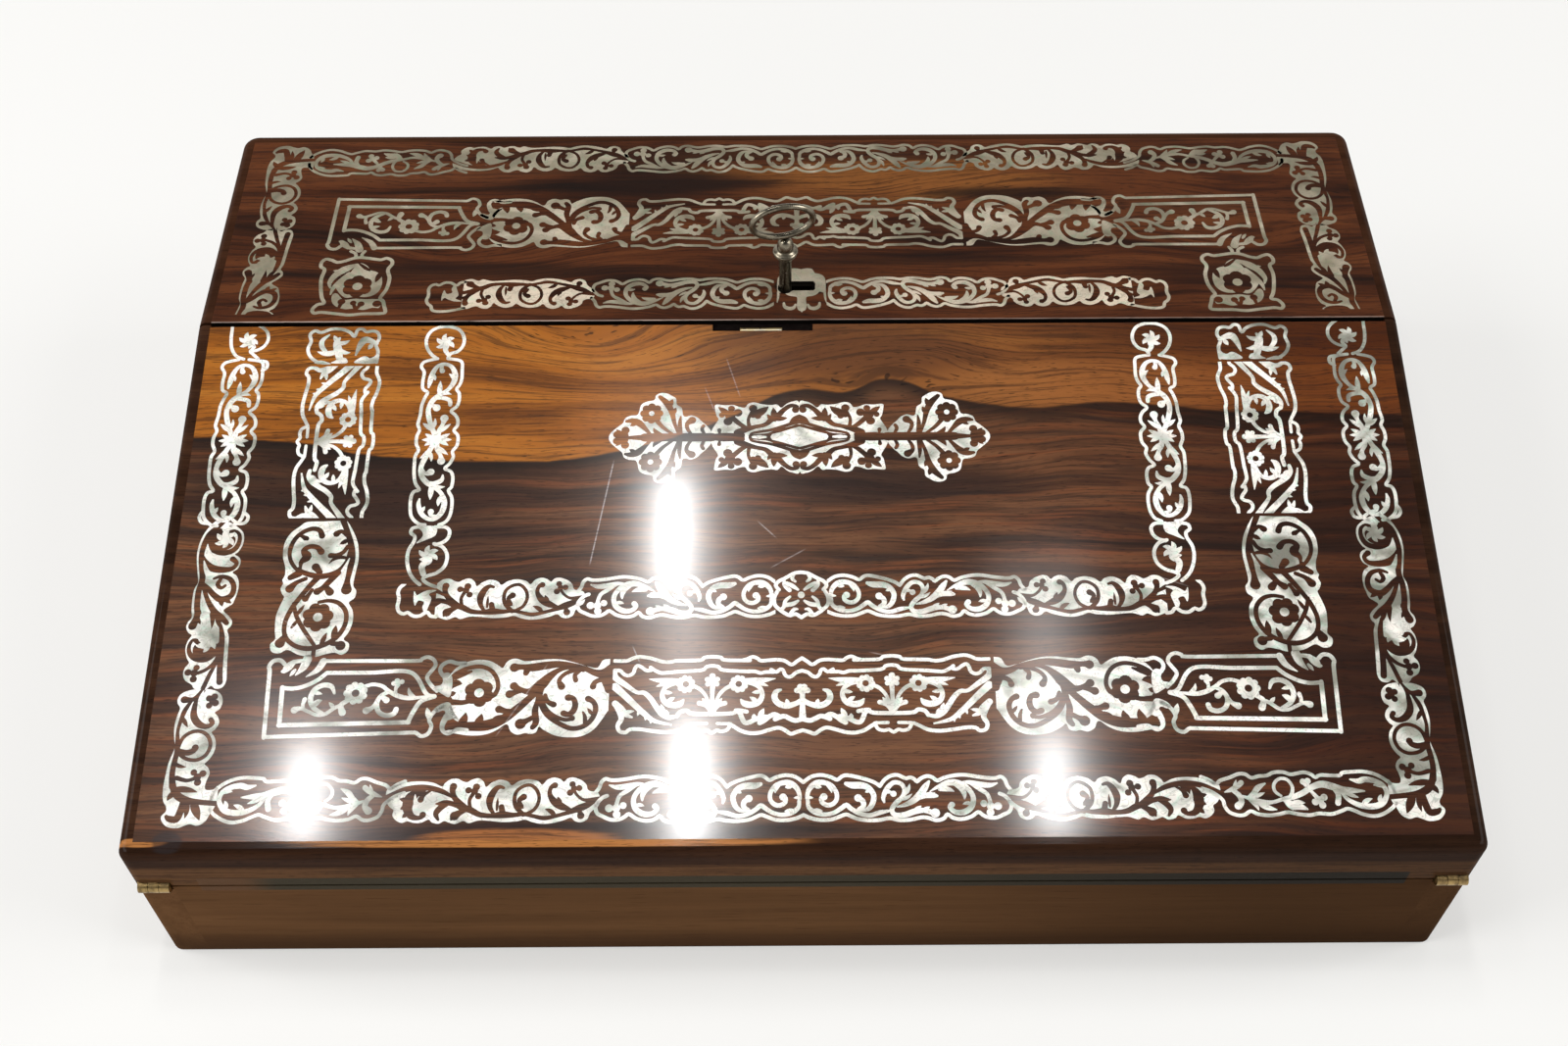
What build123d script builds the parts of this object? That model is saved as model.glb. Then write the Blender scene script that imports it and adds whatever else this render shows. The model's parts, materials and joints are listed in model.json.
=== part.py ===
from build123d import *
import os
from math import asin, atan, cos, degrees, pi, sin, tan

# A table writing slope: a rosewood case with a sloping front flap and a flat back lid,
# inlaid with mother-of-pearl, with its lock and key and the fittings inside.
# The origin is the middle of the underside, +Z is up and the flap faces -Y.

# Case, in millimetres
case_width = 400.0
case_depth = 272.0
front_height = 64.4
back_height = 99.0
lid_run = 93.7
wall = 12.0
floor_thickness = 6.0
baize_thickness = 0.8
baize_inset = 2.0
front_corner_radius = 3.6
back_corner_radius = 5.5

# Where the flap and the lid part from the case
parting_drop = 18.6
parting_gap = 1.0
seam_gap = 1.0

# Veneered boards
edging_width = 4.5
edging_round = 3.0
veneer_thickness = 1.0

# Linings
lining_thickness = 1.2
lining_side_margin = 8.0
lining_end_margin = 12.0
lip_thickness = 1.0
flap_lip_height = 4.1
rail_lip_height = 2.4
lid_lining_margin = 2.0

# Partitions and writing board
divider_thickness = 6.0
ledge_size = 7.0
board_thickness = 6.2
board_clearance = 0.4
finger_notch_radius = 9.0
finger_room = 20.0

# Back compartment
well_size = 44.0
well_wall = 5.0
partition_top = 48.0
divider_rise = 4.0
tray_height = 20.0
tray_top = 60.0
tray_clearance = 0.5
tray_wall = 4.5
tray_floor = 4.0
tray_rib = 4.0
tray_corner_radius = 1.5
trough_round = 5.0
tray_ledge = 6.0

# Ink bottles
bottle_side = 40.0
bottle_height = 35.0
bottle_wall = 5.0
bottle_floor = 6.0
bottle_corner_radius = 4.0
bottle_shoulder = 2.2
neck_radius = 9.0
neck_bore_radius = 6.5
neck_height = 4.0
plinth_height = 5.0
collar_radius = 11.5
collar_height = 5.0
collar_lip = 1.0
cap_radius = 12.0
cap_skirt = 3.0
cap_dome = 3.4
cap_gap = 0.3
cap_knuckle_radius = 1.5
cap_knuckle_length = 8.0
cap_pin_radius = 0.7

# Hinges and screws
leaf_thickness = 1.6
knuckle_radius = 2.0
pin_radius = 0.9
pin_clearance = 0.05
knuckle_clearance = 0.15
wood_clearance = 0.3
slope_hinge_width = 9.5
slope_hinge_edge = 2.0
slope_hinge_length = 42.0
slope_screw_first = 16.0
slope_screw_inset = 7.5
lid_hinge_width = 38.0
lid_hinge_length = 10.0
lid_hinge_spacing = 250.0
lid_screw_side_inset = 6.0
lid_screw_end_inset = 3.6
screw_head_radius = 1.9
screw_head_depth = 1.1
screw_shank_radius = 1.0
screw_length = 7.0

# Lock and key
key_x = -4.2
key_inset = 15.2
lock_left = -22.5
lock_right = 8.0
lock_depth = 27.0
lock_height = 10.0
lock_wall = 1.2
selvedge_thickness = 1.6
lock_plate_margin = 6.0
lock_screw_y = 6.0
bolt_x = -12.4
bolt_width = 14.0
bolt_thickness = 3.0
bolt_rise = 2.4
bolt_tail_width = 5.4
bolt_clearance = 0.2
bolt_throw = 5.0
strike_left = -28.5
strike_right = 4.8
strike_screw_inset = 4.2
strike_notch_depth = 2.4
strike_notch_drop = 4.0
strike_thickness = 1.4
strike_margin = 2.0
strike_tongue = 0.9
tongue_sink = 0.6
key_shank_radius = 2.1
key_bore_radius = 1.1
key_bore_depth = 10.0
key_bit_reach = 8.8
key_bit_height = 4.6
key_bit_thickness = 2.8
ward_start = 5.6
ward_end = 7.0
ward_depth = 2.0
keyhole_clearance = 0.35
curtain_radius = 4.3
curtain_clearance = 0.15
drill_pin_radius = 0.9
drill_pin_clearance = 0.6
stem_above_lid = 15.0
key_collar_radius = 3.9
key_collar_height = 6.5
key_collar_edge = 1.1
key_bead_radius = 2.6
bow_width = 20.0
bow_height = 15.6
bow_end_radius = 5.2
bow_wire_radius = 1.15
bow_twist = 8.6

# Inlay bands: along the slope from its front arris, or along the lid from the seam
outer_band = 14.0
outer_band_edge = 10.0
outer_band_front = 9.5
middle_band = 25.0
middle_band_edge = 36.0
middle_band_front = 36.5
inner_band = 13.6
inner_band_edge = 75.3
inner_band_front = 75.0
outer_joints_across = (60.0, 118.0)
outer_joints_along = (55.5, 106.0, 159.5)
middle_joints_across = (58.0, 112.0)
middle_joints_along = (109.0, 165.5)
inner_joints_across = (8.0, 68.0)
inner_joints_along = (104.5, 159.5)
lid_joints_along = (43.0,)
band_joint = 1.2
band_end = 2.0
strip_corner_radius = 2.5
frame_corner_radius = 1.5
cartouche_length = 124.0
cartouche_height = 30.0
cartouche_body_length = 54.0
cartouche_body_height = 25.0
cartouche_centre = 138.0
lid_outer_top = 87.0
lid_middle_top = 59.5
lid_square_top = 31.5
lid_inner_top = 20.0
lid_band_end = 4.5
escutcheon_left = -7.6
escutcheon_right = 9.6
escutcheon_front = 9.0
escutcheon_back = 24.0

# Places that follow from the sizes
half_width = case_width / 2
front_y = -case_depth / 2
back_y = case_depth / 2
seam_y = back_y - lid_run
inner_x = half_width - wall
lining_half_width = inner_x - lining_side_margin
slope = atan((back_height - front_height) / (seam_y - front_y))
flap_pivot_z = front_height - parting_drop
half_gap = parting_gap / 2
floor_top = baize_thickness + floor_thickness


def slope_z(y, n=0.0):
    """Height at y of the line that lies n above the flap's parting plane, square to it."""
    return flap_pivot_z + (y - front_y) * tan(slope) + n / cos(slope)


lid_pivot_z = slope_z(seam_y)
lid_bottom = lid_pivot_z + half_gap
case_back_top = lid_pivot_z - half_gap
flap_face_n = parting_drop * cos(slope)
flap_end_y = seam_y - seam_gap / 2
lid_front_y = seam_y + seam_gap / 2
slope_length = (flap_end_y - front_y) / cos(slope)
divider_front = seam_y - divider_thickness / 2
divider_back = seam_y + divider_thickness / 2
back_inner_y = back_y - wall
front_inner_y = front_y + wall
well_inner_x = inner_x - well_size
well_divider_x = well_inner_x - well_wall
bottle_x = inner_x - well_size / 2
bottle_y = divider_back + well_size / 2
bottle_base = floor_top + plinth_height
cap_seat = bottle_height + collar_height
cap_pivot_y = collar_radius + cap_knuckle_radius
cap_pivot_z = cap_seat + cap_gap / 2
cap_barrel = cap_knuckle_length / 3
slope_hinge_x = half_width - slope_hinge_edge - slope_hinge_width / 2
key_y = seam_y + key_inset
lock_floor = lid_bottom + lock_wall
lock_top = lid_bottom + lock_height
lock_back_y = lid_front_y + lock_depth
bolt_left = bolt_x - bolt_width / 2
bolt_right = bolt_x + bolt_width / 2
bolt_low = lock_floor + bolt_rise
bolt_high = bolt_low + bolt_thickness
bit_low = lock_floor + curtain_clearance * 8
bit_high = bit_low + key_bit_height
everywhere = 2 * case_width

parts = {}


def block(x0, x1, y0, y1, z0, z1):
    """A box between two corners."""
    return Pos((x0 + x1) / 2, (y0 + y1) / 2, (z0 + z1) / 2) * Box(x1 - x0, y1 - y0, z1 - z0)


def slab(profile, x0, x1):
    """A profile of (y, z) points, drawn out along X."""
    face = make_face(Polyline(*profile, close=True))
    return extrude(Plane.YZ.offset(x0) * face, x1 - x0)


def slope_slab(y0, y1, n0, n1, half):
    """A slab along the slope between two upright ends, its sides half away from the middle."""
    profile = [
        (y0, slope_z(y0, n0)),
        (y1, slope_z(y1, n0)),
        (y1, slope_z(y1, n1)),
        (y0, slope_z(y0, n1)),
    ]
    return slab(profile, -half, half)


def bar_x(x0, x1, y, z, radius):
    """A round bar along X."""
    return Pos((x0 + x1) / 2, y, z) * Rot(0, 90, 0) * Cylinder(radius, x1 - x0)


def bar_z(x, y, z0, z1, radius):
    """A round bar along Z."""
    return Pos(x, y, (z0 + z1) / 2) * Cylinder(radius, z1 - z0)


def mirrored(shape):
    """The same piece on the other side of the case."""
    return mirror(shape, about=Plane.YZ)


def both_sides(shape):
    """A piece and its mirror image."""
    return Compound([shape, mirrored(shape)])


def on_slope(x, along):
    """Place for a piece in the flap's face: along the slope from its front arris."""
    y = front_y + along * cos(slope)
    z = front_height + along * sin(slope)
    return Pos(x, y, z) * Rot(degrees(slope), 0, 0)


def on_lid(x, along):
    """Place for a piece in the lid's face: along it from the seam."""
    return Pos(x, seam_y + along, back_height)


def apart(a, b):
    """Whether two boxes have clear space between them."""
    return (
        a.min.X > b.max.X
        or b.min.X > a.max.X
        or a.min.Y > b.max.Y
        or b.min.Y > a.max.Y
        or a.min.Z > b.max.Z
        or b.min.Z > a.max.Z
    )


def cut_by(shape, cutters):
    """The shape less each cutter that reaches it."""
    for cutter in cutters:
        if not apart(shape.bounding_box(), cutter.bounding_box()):
            shape -= cutter
    return shape


def solids_of(shapes):
    """One compound of all the solids in the shapes."""
    return Compound([solid for shape in shapes for solid in shape.solids()])


def keep(name, shape):
    """Stores one sub-part under its name."""
    parts[name] = shape


# Hinges and screws


def screw():
    """A countersunk screw: the head's face is at Z = 0 and the shank points down."""
    head = Pos(0, 0, -screw_head_depth / 2)
    head *= Cone(screw_shank_radius, screw_head_radius, screw_head_depth)
    return head + bar_z(0, 0, -screw_length, -screw_head_depth, screw_shank_radius)


def hinge(width, length, knuckles):
    """One shut butt hinge about the X axis: the lower leaf, the upper leaf and the pin."""
    pitch = width / knuckles
    slack = knuckle_clearance / 2
    upper = block(-width / 2, width / 2, 0, length, half_gap, half_gap + leaf_thickness)
    lower = mirror(upper, about=Plane.XY)
    for k in range(knuckles):
        x0 = -width / 2 + k * pitch
        x1 = x0 + pitch
        barrel = bar_x(x0 + slack, x1 - slack, 0, 0, knuckle_radius)
        room = bar_x(x0 - slack, x1 + slack, 0, 0, knuckle_radius + knuckle_clearance)
        if k % 2:
            lower, upper = lower - room, upper + barrel
        else:
            lower, upper = lower + barrel, upper - room
    pin = bar_x(-width / 2, width / 2, 0, 0, pin_radius)
    lower -= pin
    upper -= bar_x(-width / 2, width / 2, 0, 0, pin_radius + pin_clearance)
    return lower, upper, pin


def hinge_room(width, length):
    """What a shut hinge takes out of the wood: both leaves, and a channel for the knuckles."""
    top = block(-width / 2, width / 2, 0, length, half_gap, half_gap + leaf_thickness)
    end = width / 2 + wood_clearance
    channel = bar_x(-end, end, 0, 0, knuckle_radius + wood_clearance)
    return [top, mirror(top, about=Plane.XY), channel]


def hinge_screws(spots):
    """Screws down through the lower leaf and up through the upper one."""
    down = [Pos(x, y, -half_gap) * screw() for x, y in spots]
    up = [Pos(x, y, half_gap) * Rot(180, 0, 0) * screw() for x, y in spots]
    return down, up


def make_hinge_pair(label, upper_body, places, width, length, knuckles, spots):
    """Stores one pair of hinges, and gives the wood cutters and the screws of each body."""
    lower, upper, pin = hinge(width, length, knuckles)
    down, up = hinge_screws(spots)
    lower = cut_by(lower, down)
    upper = cut_by(upper, up)
    keep(f"{label}_case_leaves", solids_of([place * lower for place in places]))
    keep(f"{label}_{upper_body}_leaves", solids_of([place * upper for place in places]))
    keep(f"{label}_pins", solids_of([place * pin for place in places]))
    cuts = [place * piece for place in places for piece in hinge_room(width, length)]
    low_screws = [place * piece for place in places for piece in down]
    high_screws = [place * piece for place in places for piece in up]
    return cuts, low_screws, high_screws


def make_hinges():
    """Both pairs of hinges."""
    tilt = Rot(degrees(slope), 0, 0)
    slope_places = [Pos(side * slope_hinge_x, front_y, flap_pivot_z) * tilt for side in (-1, 1)]
    slope_spots = [(0, slope_screw_first), (0, slope_hinge_length - slope_screw_inset)]
    turn = Rot(0, 0, 180)
    lid_places = [Pos(side * lid_hinge_spacing / 2, back_y, lid_pivot_z) * turn for side in (-1, 1)]
    screw_x = lid_hinge_width / 2 - lid_screw_side_inset
    screw_y = lid_hinge_length - lid_screw_end_inset
    lid_spots = [(-screw_x, screw_y), (screw_x, screw_y)]
    flap_cuts, flap_low, flap_high = make_hinge_pair(
        "slope_hinge", "flap", slope_places, slope_hinge_width, slope_hinge_length, 3, slope_spots
    )
    lid_cuts, lid_low, lid_high = make_hinge_pair(
        "lid_hinge", "lid", lid_places, lid_hinge_width, lid_hinge_length, 5, lid_spots
    )
    screws = {"case": flap_low + lid_low, "flap": flap_high, "lid": lid_high}
    for body, group in screws.items():
        keep(f"{body}_hinge_screws", solids_of(group))
    return flap_cuts + lid_cuts, screws


# The case


def side_wall():
    """The right side: its top follows the slope and then runs level under the lid."""
    profile = [
        (front_y, baize_thickness),
        (back_y, baize_thickness),
        (back_y, case_back_top),
        (seam_y, case_back_top),
        (front_y, slope_z(front_y, -half_gap)),
    ]
    side = slab(profile, inner_x, half_width)
    outer = side.edges().filter_by(Axis.Z).group_by(Axis.X)[-1].sort_by(Axis.Y)
    side = fillet(outer[0], front_corner_radius)
    outer = side.edges().filter_by(Axis.Z).group_by(Axis.X)[-1].sort_by(Axis.Y)
    return fillet(outer[-1], back_corner_radius)


def lining_sheet(y1, n0, n1):
    """A lining that runs back from the front face."""
    return slope_slab(front_y, y1, n0, n1, lining_half_width)


def lining_lip(n0, n1):
    """The edge of a lining, turned over and let in flush with the front face."""
    return slope_slab(front_y, front_y + lip_thickness, n0, n1, lining_half_width)


def front_wall():
    """The front between the side walls. Its top follows the slope."""
    profile = [
        (front_y, baize_thickness),
        (front_inner_y, baize_thickness),
        (front_inner_y, slope_z(front_inner_y, -half_gap)),
        (front_y, slope_z(front_y, -half_gap)),
    ]
    return slab(profile, -inner_x, inner_x)


def cross_divider():
    """Carries the back of the flap and the front of the lid."""
    profile = [
        (divider_front, floor_top),
        (divider_back, floor_top),
        (divider_back, case_back_top),
        (seam_y, case_back_top),
        (divider_front, slope_z(divider_front, -half_gap)),
    ]
    return slab(profile, -inner_x, inner_x)


def board_ledges():
    """Strips on the side walls and the divider that carry the writing board."""
    top = -half_gap - board_thickness
    y0, y1 = divider_front - ledge_size, divider_front
    run = slope_slab(front_inner_y, y0, top - ledge_size, top, inner_x)
    side = run & block(inner_x - ledge_size, inner_x, front_inner_y, y0, 0, back_height)
    back = slope_slab(y0, y1, top - ledge_size, top, inner_x)
    back &= block(finger_room, inner_x, y0, y1, 0, back_height)
    return solids_of([side, mirrored(side), back, mirrored(back)])


def tray_ledges():
    """Strips that carry the pen tray along the divider and the back wall."""
    z1 = tray_top - tray_height
    z0 = z1 - tray_ledge
    x1 = well_divider_x
    front = block(-x1, x1, divider_back, divider_back + tray_ledge, z0, z1)
    back = block(-x1, x1, back_inner_y - tray_ledge, back_inner_y, z0, z1)
    return Compound([front, back])


def baize():
    """The cloth under the case."""
    x1 = half_width - baize_inset
    y1 = case_depth / 2 - baize_inset
    cloth = block(-x1, x1, -y1, y1, 0, baize_thickness)
    return fillet(cloth.edges().filter_by(Axis.Z), front_corner_radius)


def make_case(cuts, screws):
    """The fixed woodwork, from the cloth underneath to the ledges inside."""
    cutters = cuts + screws
    keep("right_wall", cut_by(side_wall(), cutters))
    keep("left_wall", cut_by(mirrored(side_wall()), cutters))
    sheet = lining_sheet(front_inner_y, -half_gap - lining_thickness, -half_gap)
    lip = lining_lip(-half_gap - rail_lip_height, -half_gap - lining_thickness)
    lining = sheet + lip
    keep("front_wall", cut_by(front_wall() - lining, cutters))
    keep("front_rail_lining", lining)
    back = block(-inner_x, inner_x, back_inner_y, back_y, baize_thickness, case_back_top)
    keep("back_wall", cut_by(back, cutters))
    board = block(-inner_x, inner_x, front_inner_y, back_inner_y, baize_thickness, floor_top)
    keep("bottom_board", board)
    keep("baize_underlay", baize())
    keep("cross_divider", cross_divider())
    keep("writing_board_ledges", board_ledges())
    keep("pen_tray_ledges", tray_ledges())
    x0, x1 = well_divider_x, well_inner_x
    y0, y1 = divider_back, divider_back + well_size
    divider = block(x0, x1, y0, back_inner_y, floor_top, tray_top + divider_rise)
    keep("well_dividers", both_sides(divider))
    partition = block(x1, inner_x, y1, y1 + well_wall, floor_top, partition_top)
    keep("well_partitions", both_sides(partition))
    keep("bottle_plinths", both_sides(block(x1, inner_x, y0, y1, floor_top, bottle_base)))


# Ink bottles


def bottle():
    """A square glass bottle with a round neck, standing on its own axis."""
    body = Pos(0, 0, bottle_height / 2) * Box(bottle_side, bottle_side, bottle_height)
    body = fillet(body.edges().filter_by(Axis.Z), bottle_corner_radius)
    body = chamfer(body.faces().sort_by(Axis.Z)[-1].edges(), bottle_shoulder)
    body += bar_z(0, 0, bottle_height, bottle_height + neck_height, neck_radius)
    ink_radius = bottle_side / 2 - bottle_wall
    body -= bar_z(0, 0, bottle_floor, bottle_height - bottle_wall, ink_radius)
    return body - bar_z(0, 0, bottle_floor, bottle_height + neck_height, neck_bore_radius)


def bottle_collar():
    """The brass ring round the neck, with two hinge knuckles behind."""
    ring = bar_z(0, 0, bottle_height, cap_seat, collar_radius)
    ring -= bar_z(0, 0, bottle_height, bottle_height + neck_height, neck_radius)
    ring -= bar_z(0, 0, bottle_height, cap_seat, neck_bore_radius + collar_lip)
    half = cap_barrel / 2 - knuckle_clearance / 2
    low = cap_seat - 2 * cap_knuckle_radius
    for side in (-1, 1):
        x = side * cap_barrel
        lug = block(x - half, x + half, collar_radius - collar_lip, cap_pivot_y, low, cap_seat)
        ring += lug + bar_x(x - half, x + half, cap_pivot_y, cap_pivot_z, cap_knuckle_radius)
    end = cap_knuckle_length
    ring -= bar_x(-end, end, cap_pivot_y, cap_pivot_z, cap_pin_radius + pin_clearance)
    middle = cap_barrel / 2
    room = cap_knuckle_radius + knuckle_clearance
    return ring - bar_x(-middle, middle, cap_pivot_y, cap_pivot_z, room)


def bottle_cap():
    """The domed brass cap with its own knuckle and the pin."""
    shoulder = (cap_radius, cap_skirt)
    crown = (0, cap_skirt + cap_dome)
    dome_radius = (cap_radius**2 + cap_dome**2) / (2 * cap_dome)
    turn = asin(cap_radius / dome_radius) / 2
    bulge = (dome_radius * sin(turn), crown[1] - dome_radius * (1 - cos(turn)))
    outline = Polyline(crown, (0, 0), (cap_radius, 0), shoulder)
    outline += ThreePointArc(shoulder, bulge, crown)
    z0 = cap_seat + cap_gap
    cap = Pos(0, 0, z0) * revolve(Plane.XZ * make_face(outline), Axis.Z)
    half = cap_barrel / 2 - knuckle_clearance / 2
    room = cap_knuckle_radius + knuckle_clearance
    for side in (-1, 1):
        x = side * cap_barrel
        reach = cap_barrel / 2 + knuckle_clearance
        cap -= bar_x(x - reach, x + reach, cap_pivot_y, cap_pivot_z, room)
    lug = block(-half, half, cap_radius - collar_lip, cap_pivot_y, cap_pivot_z, z0 + cap_knuckle_radius)
    barrel = bar_x(-half, half, cap_pivot_y, cap_pivot_z, cap_knuckle_radius)
    end = cap_knuckle_length / 2
    return cap + lug + barrel + bar_x(-end, end, cap_pivot_y, cap_pivot_z, cap_pin_radius)


def make_bottles():
    """Both ink bottles with their collars and caps."""
    for side, label in ((-1, "left"), (1, "right")):
        place = Pos(side * bottle_x, bottle_y, bottle_base)
        keep(f"{label}_ink_bottle", place * bottle())
        keep(f"{label}_ink_collar", place * bottle_collar())
        keep(f"{label}_ink_cap", place * bottle_cap())


# Pen tray and writing board


def pen_tray():
    """A lift-out tray with a scooped trough in front and a flat one behind."""
    x1 = well_divider_x - tray_clearance
    y0, y1 = divider_back + tray_clearance, back_inner_y - tray_clearance
    z0, z1 = tray_top - tray_height, tray_top
    body = block(-x1, x1, y0, y1, z0, z1)
    body = fillet(body.edges().filter_by(Axis.Z), tray_corner_radius)
    trough = (y1 - y0 - 2 * tray_wall - tray_rib) / 2
    depth = tray_height - tray_floor
    end = x1 - tray_wall
    flat = block(-end, end, y1 - tray_wall - trough, y1 - tray_wall, z0 + tray_floor, z1)
    flat = fillet(flat.edges().filter_by(Axis.X).group_by(Axis.Z)[0], trough_round)
    radius = (trough**2 / 4 + depth**2) / (2 * depth)
    middle = y0 + tray_wall + trough / 2
    scoop = bar_x(-end, end, middle, z1 - depth + radius, radius)
    scoop &= block(-end, end, y0 + tray_wall, y0 + tray_wall + trough, z0, z1)
    return body - flat - scoop


def make_writing_board():
    """The lined board over the paper space, with a finger notch in its back edge."""
    y0, y1 = front_inner_y + board_clearance, divider_front - board_clearance
    board = slope_slab(y0, y1, -half_gap - board_thickness, -half_gap, inner_x - board_clearance)
    y2 = y1 - lining_end_margin
    lining = slope_slab(y0, y2, -half_gap - lining_thickness, -half_gap, lining_half_width)
    notch = bar_z(0, y1, floor_top, back_height, finger_notch_radius)
    keep("writing_board", board - lining - notch)
    keep("writing_board_lining", lining)


# Inlay


def plate(length, height, radius):
    """A flat inlay blank, its face at Z = 0, as deep as the veneer."""
    blank = Pos(0, 0, -veneer_thickness / 2) * Box(length, height, veneer_thickness)
    return fillet(blank.edges().filter_by(Axis.Z), radius)


def runs(start, end, joints):
    """The middle and length of each panel between joints, with a line of wood left at each joint."""
    marks = [start, *joints, end]
    return [((a + b) / 2, abs(b - a) - band_joint) for a, b in zip(marks, marks[1:])]


def mirrored_joints(joints):
    """The joints on the right and their mirror images on the left, in order."""
    return [-x for x in reversed(joints)] + list(joints)


def band(place, width, edge, front, back, radius, across, along):
    """A band round three sides: panels across the near side and up the two others."""
    x1 = half_width - edge
    toward = 1 if back > front else -1
    panels = []
    for x, length in runs(-x1, x1, mirrored_joints(across)):
        panels.append(place(x, front + toward * width / 2) * plate(length, width, radius))
    for run, length in runs(front + toward * width, back, along):
        for side in (-1, 1):
            panels.append(place(side * (x1 - width / 2), run) * plate(width, length, radius))
    return panels


def cartouche():
    """The plate in the middle of the flap: an oblong with a pointed wing each side."""
    body = plate(cartouche_body_length, cartouche_body_height, strip_corner_radius)
    root = cartouche_body_length / 2 + band_joint
    tip = cartouche_length / 2
    waist = (root + tip) / 2
    half = cartouche_height / 2
    upper = ThreePointArc((root, half / 6), (waist, half), (tip, 0))
    lower = ThreePointArc((tip, 0), (waist, -half), (root, -half / 6))
    outline = upper + lower + Line((root, -half / 6), (root, half / 6))
    wing = extrude(make_face(outline), -veneer_thickness)
    return [on_slope(0, cartouche_centre) * piece for piece in (body, wing, mirrored(wing))]


def flap_inlay():
    """Every inlay piece in the flap's veneer."""
    end = slope_length - band_end
    return {
        "flap_outer_inlay": band(
            on_slope,
            outer_band,
            outer_band_edge,
            outer_band_front,
            end,
            strip_corner_radius,
            outer_joints_across,
            outer_joints_along,
        ),
        "flap_middle_inlay": band(
            on_slope,
            middle_band,
            middle_band_edge,
            middle_band_front,
            end,
            frame_corner_radius,
            middle_joints_across,
            middle_joints_along,
        ),
        "flap_inner_inlay": band(
            on_slope,
            inner_band,
            inner_band_edge,
            inner_band_front,
            end,
            strip_corner_radius,
            inner_joints_across,
            inner_joints_along,
        ),
        "flap_cartouche": cartouche(),
    }


def lid_inlay():
    """Every inlay piece in the lid's veneer, apart from the escutcheon."""
    outer = band(
        on_lid,
        outer_band,
        outer_band_edge,
        lid_outer_top,
        lid_band_end,
        strip_corner_radius,
        outer_joints_across,
        lid_joints_along,
    )
    x1 = half_width - middle_band_edge
    middle = []
    for x, length in runs(-x1, x1, mirrored_joints(middle_joints_across)):
        frame = plate(length, middle_band, frame_corner_radius)
        middle.append(on_lid(x, lid_middle_top - middle_band / 2) * frame)
    high = lid_square_top - lid_band_end
    square = plate(middle_band, high, frame_corner_radius)
    inner_x1 = half_width - inner_band_edge
    inner_high = lid_inner_top - lid_band_end
    inner = []
    for side in (-1, 1):
        middle.append(on_lid(side * (x1 - middle_band / 2), lid_band_end + high / 2) * square)
        for x, length in runs(escutcheon_right, inner_x1, inner_joints_across[1:]):
            strip = plate(length, inner_high, strip_corner_radius)
            inner.append(on_lid(side * x, lid_band_end + inner_high / 2) * strip)
    return {"lid_outer_inlay": outer, "lid_middle_inlay": middle, "lid_inner_inlay": inner}


def let_in(veneer, groups):
    """Stores each group of inlay pieces and gives the veneer with their places cut out."""
    for name, pieces in groups.items():
        keep(name, solids_of(pieces))
        veneer = cut_by(veneer, pieces)
    return veneer


# Flap and lid


def rim_round(board, corner_radius, inside):
    """Rounds the top arris of a board, apart from the edge at the seam."""
    top = max(board.faces(), key=lambda face: face.normal_at().Z)
    rim = [edge for edge in top.edges() if inside(edge.center().Y)]
    return fillet(rim, min(edging_round, 0.9 * corner_radius))


def flap_outside():
    """The whole flap before it is parted into its pieces."""
    flap = slope_slab(front_y, flap_end_y, half_gap, flap_face_n, half_width)
    flap = fillet(flap.edges().filter_by(Axis.Z).group_by(Axis.Y)[0], front_corner_radius)
    return rim_round(flap, front_corner_radius, lambda y: y < flap_end_y - seam_gap)


def lid_outside():
    """The whole lid before it is parted into its pieces."""
    lid = block(-half_width, half_width, lid_front_y, back_y, lid_bottom, back_height)
    lid = fillet(lid.edges().filter_by(Axis.Z).group_by(Axis.Y)[-1], back_corner_radius)
    return rim_round(lid, back_corner_radius, lambda y: y > lid_front_y + seam_gap)


def edging_strips(edging, y0, y1, at_front):
    """Parts an edging into its two side strips and the one across, mitred at the corners."""
    x0, x1 = half_width - edging_width, half_width
    end = y0 if at_front else y1
    inward = edging_width if at_front else -edging_width
    far = y1 if at_front else y0
    across = [(-x1, end), (x1, end), (x0, end + inward), (-x0, end + inward)]
    right = [(x1, end), (x1, far), (x0, far), (x0, end + inward)]
    strips = []
    for outline in (across, right):
        prism = extrude(make_face(Polyline(*outline, close=True)), everywhere)
        strips.append(edging & prism)
    return strips + [mirrored(strips[1])]


def make_flap(cuts, screws):
    """The front flap: board, edging, veneer, inlay, lining and strike plate."""
    whole = flap_outside()
    field_x = half_width - edging_width
    field = block(-field_x, field_x, front_y + edging_width, flap_end_y, 0, everywhere)
    under_veneer = slope_slab(front_y, flap_end_y, 0, flap_face_n - veneer_thickness, half_width)
    end = flap_end_y - lining_end_margin
    sheet = lining_sheet(end, half_gap, half_gap + lining_thickness)
    lining = sheet + lining_lip(half_gap + lining_thickness, half_gap + flap_lip_height)
    inside = whole & field
    strike, openings = strike_plate()
    cutters = cuts + screws + openings + [lining]
    keep("flap_board", cut_by(inside & under_veneer, cutters + [strike]))
    edging = whole - field
    strips = edging_strips(edging, front_y, flap_end_y, True)
    keep("flap_edging", solids_of([cut_by(strip, cuts + screws + [lining]) for strip in strips]))
    keep("flap_veneer", cut_by(let_in(inside - under_veneer, flap_inlay()), openings))
    keep("flap_lining", cut_by(lining, cuts))


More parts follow.
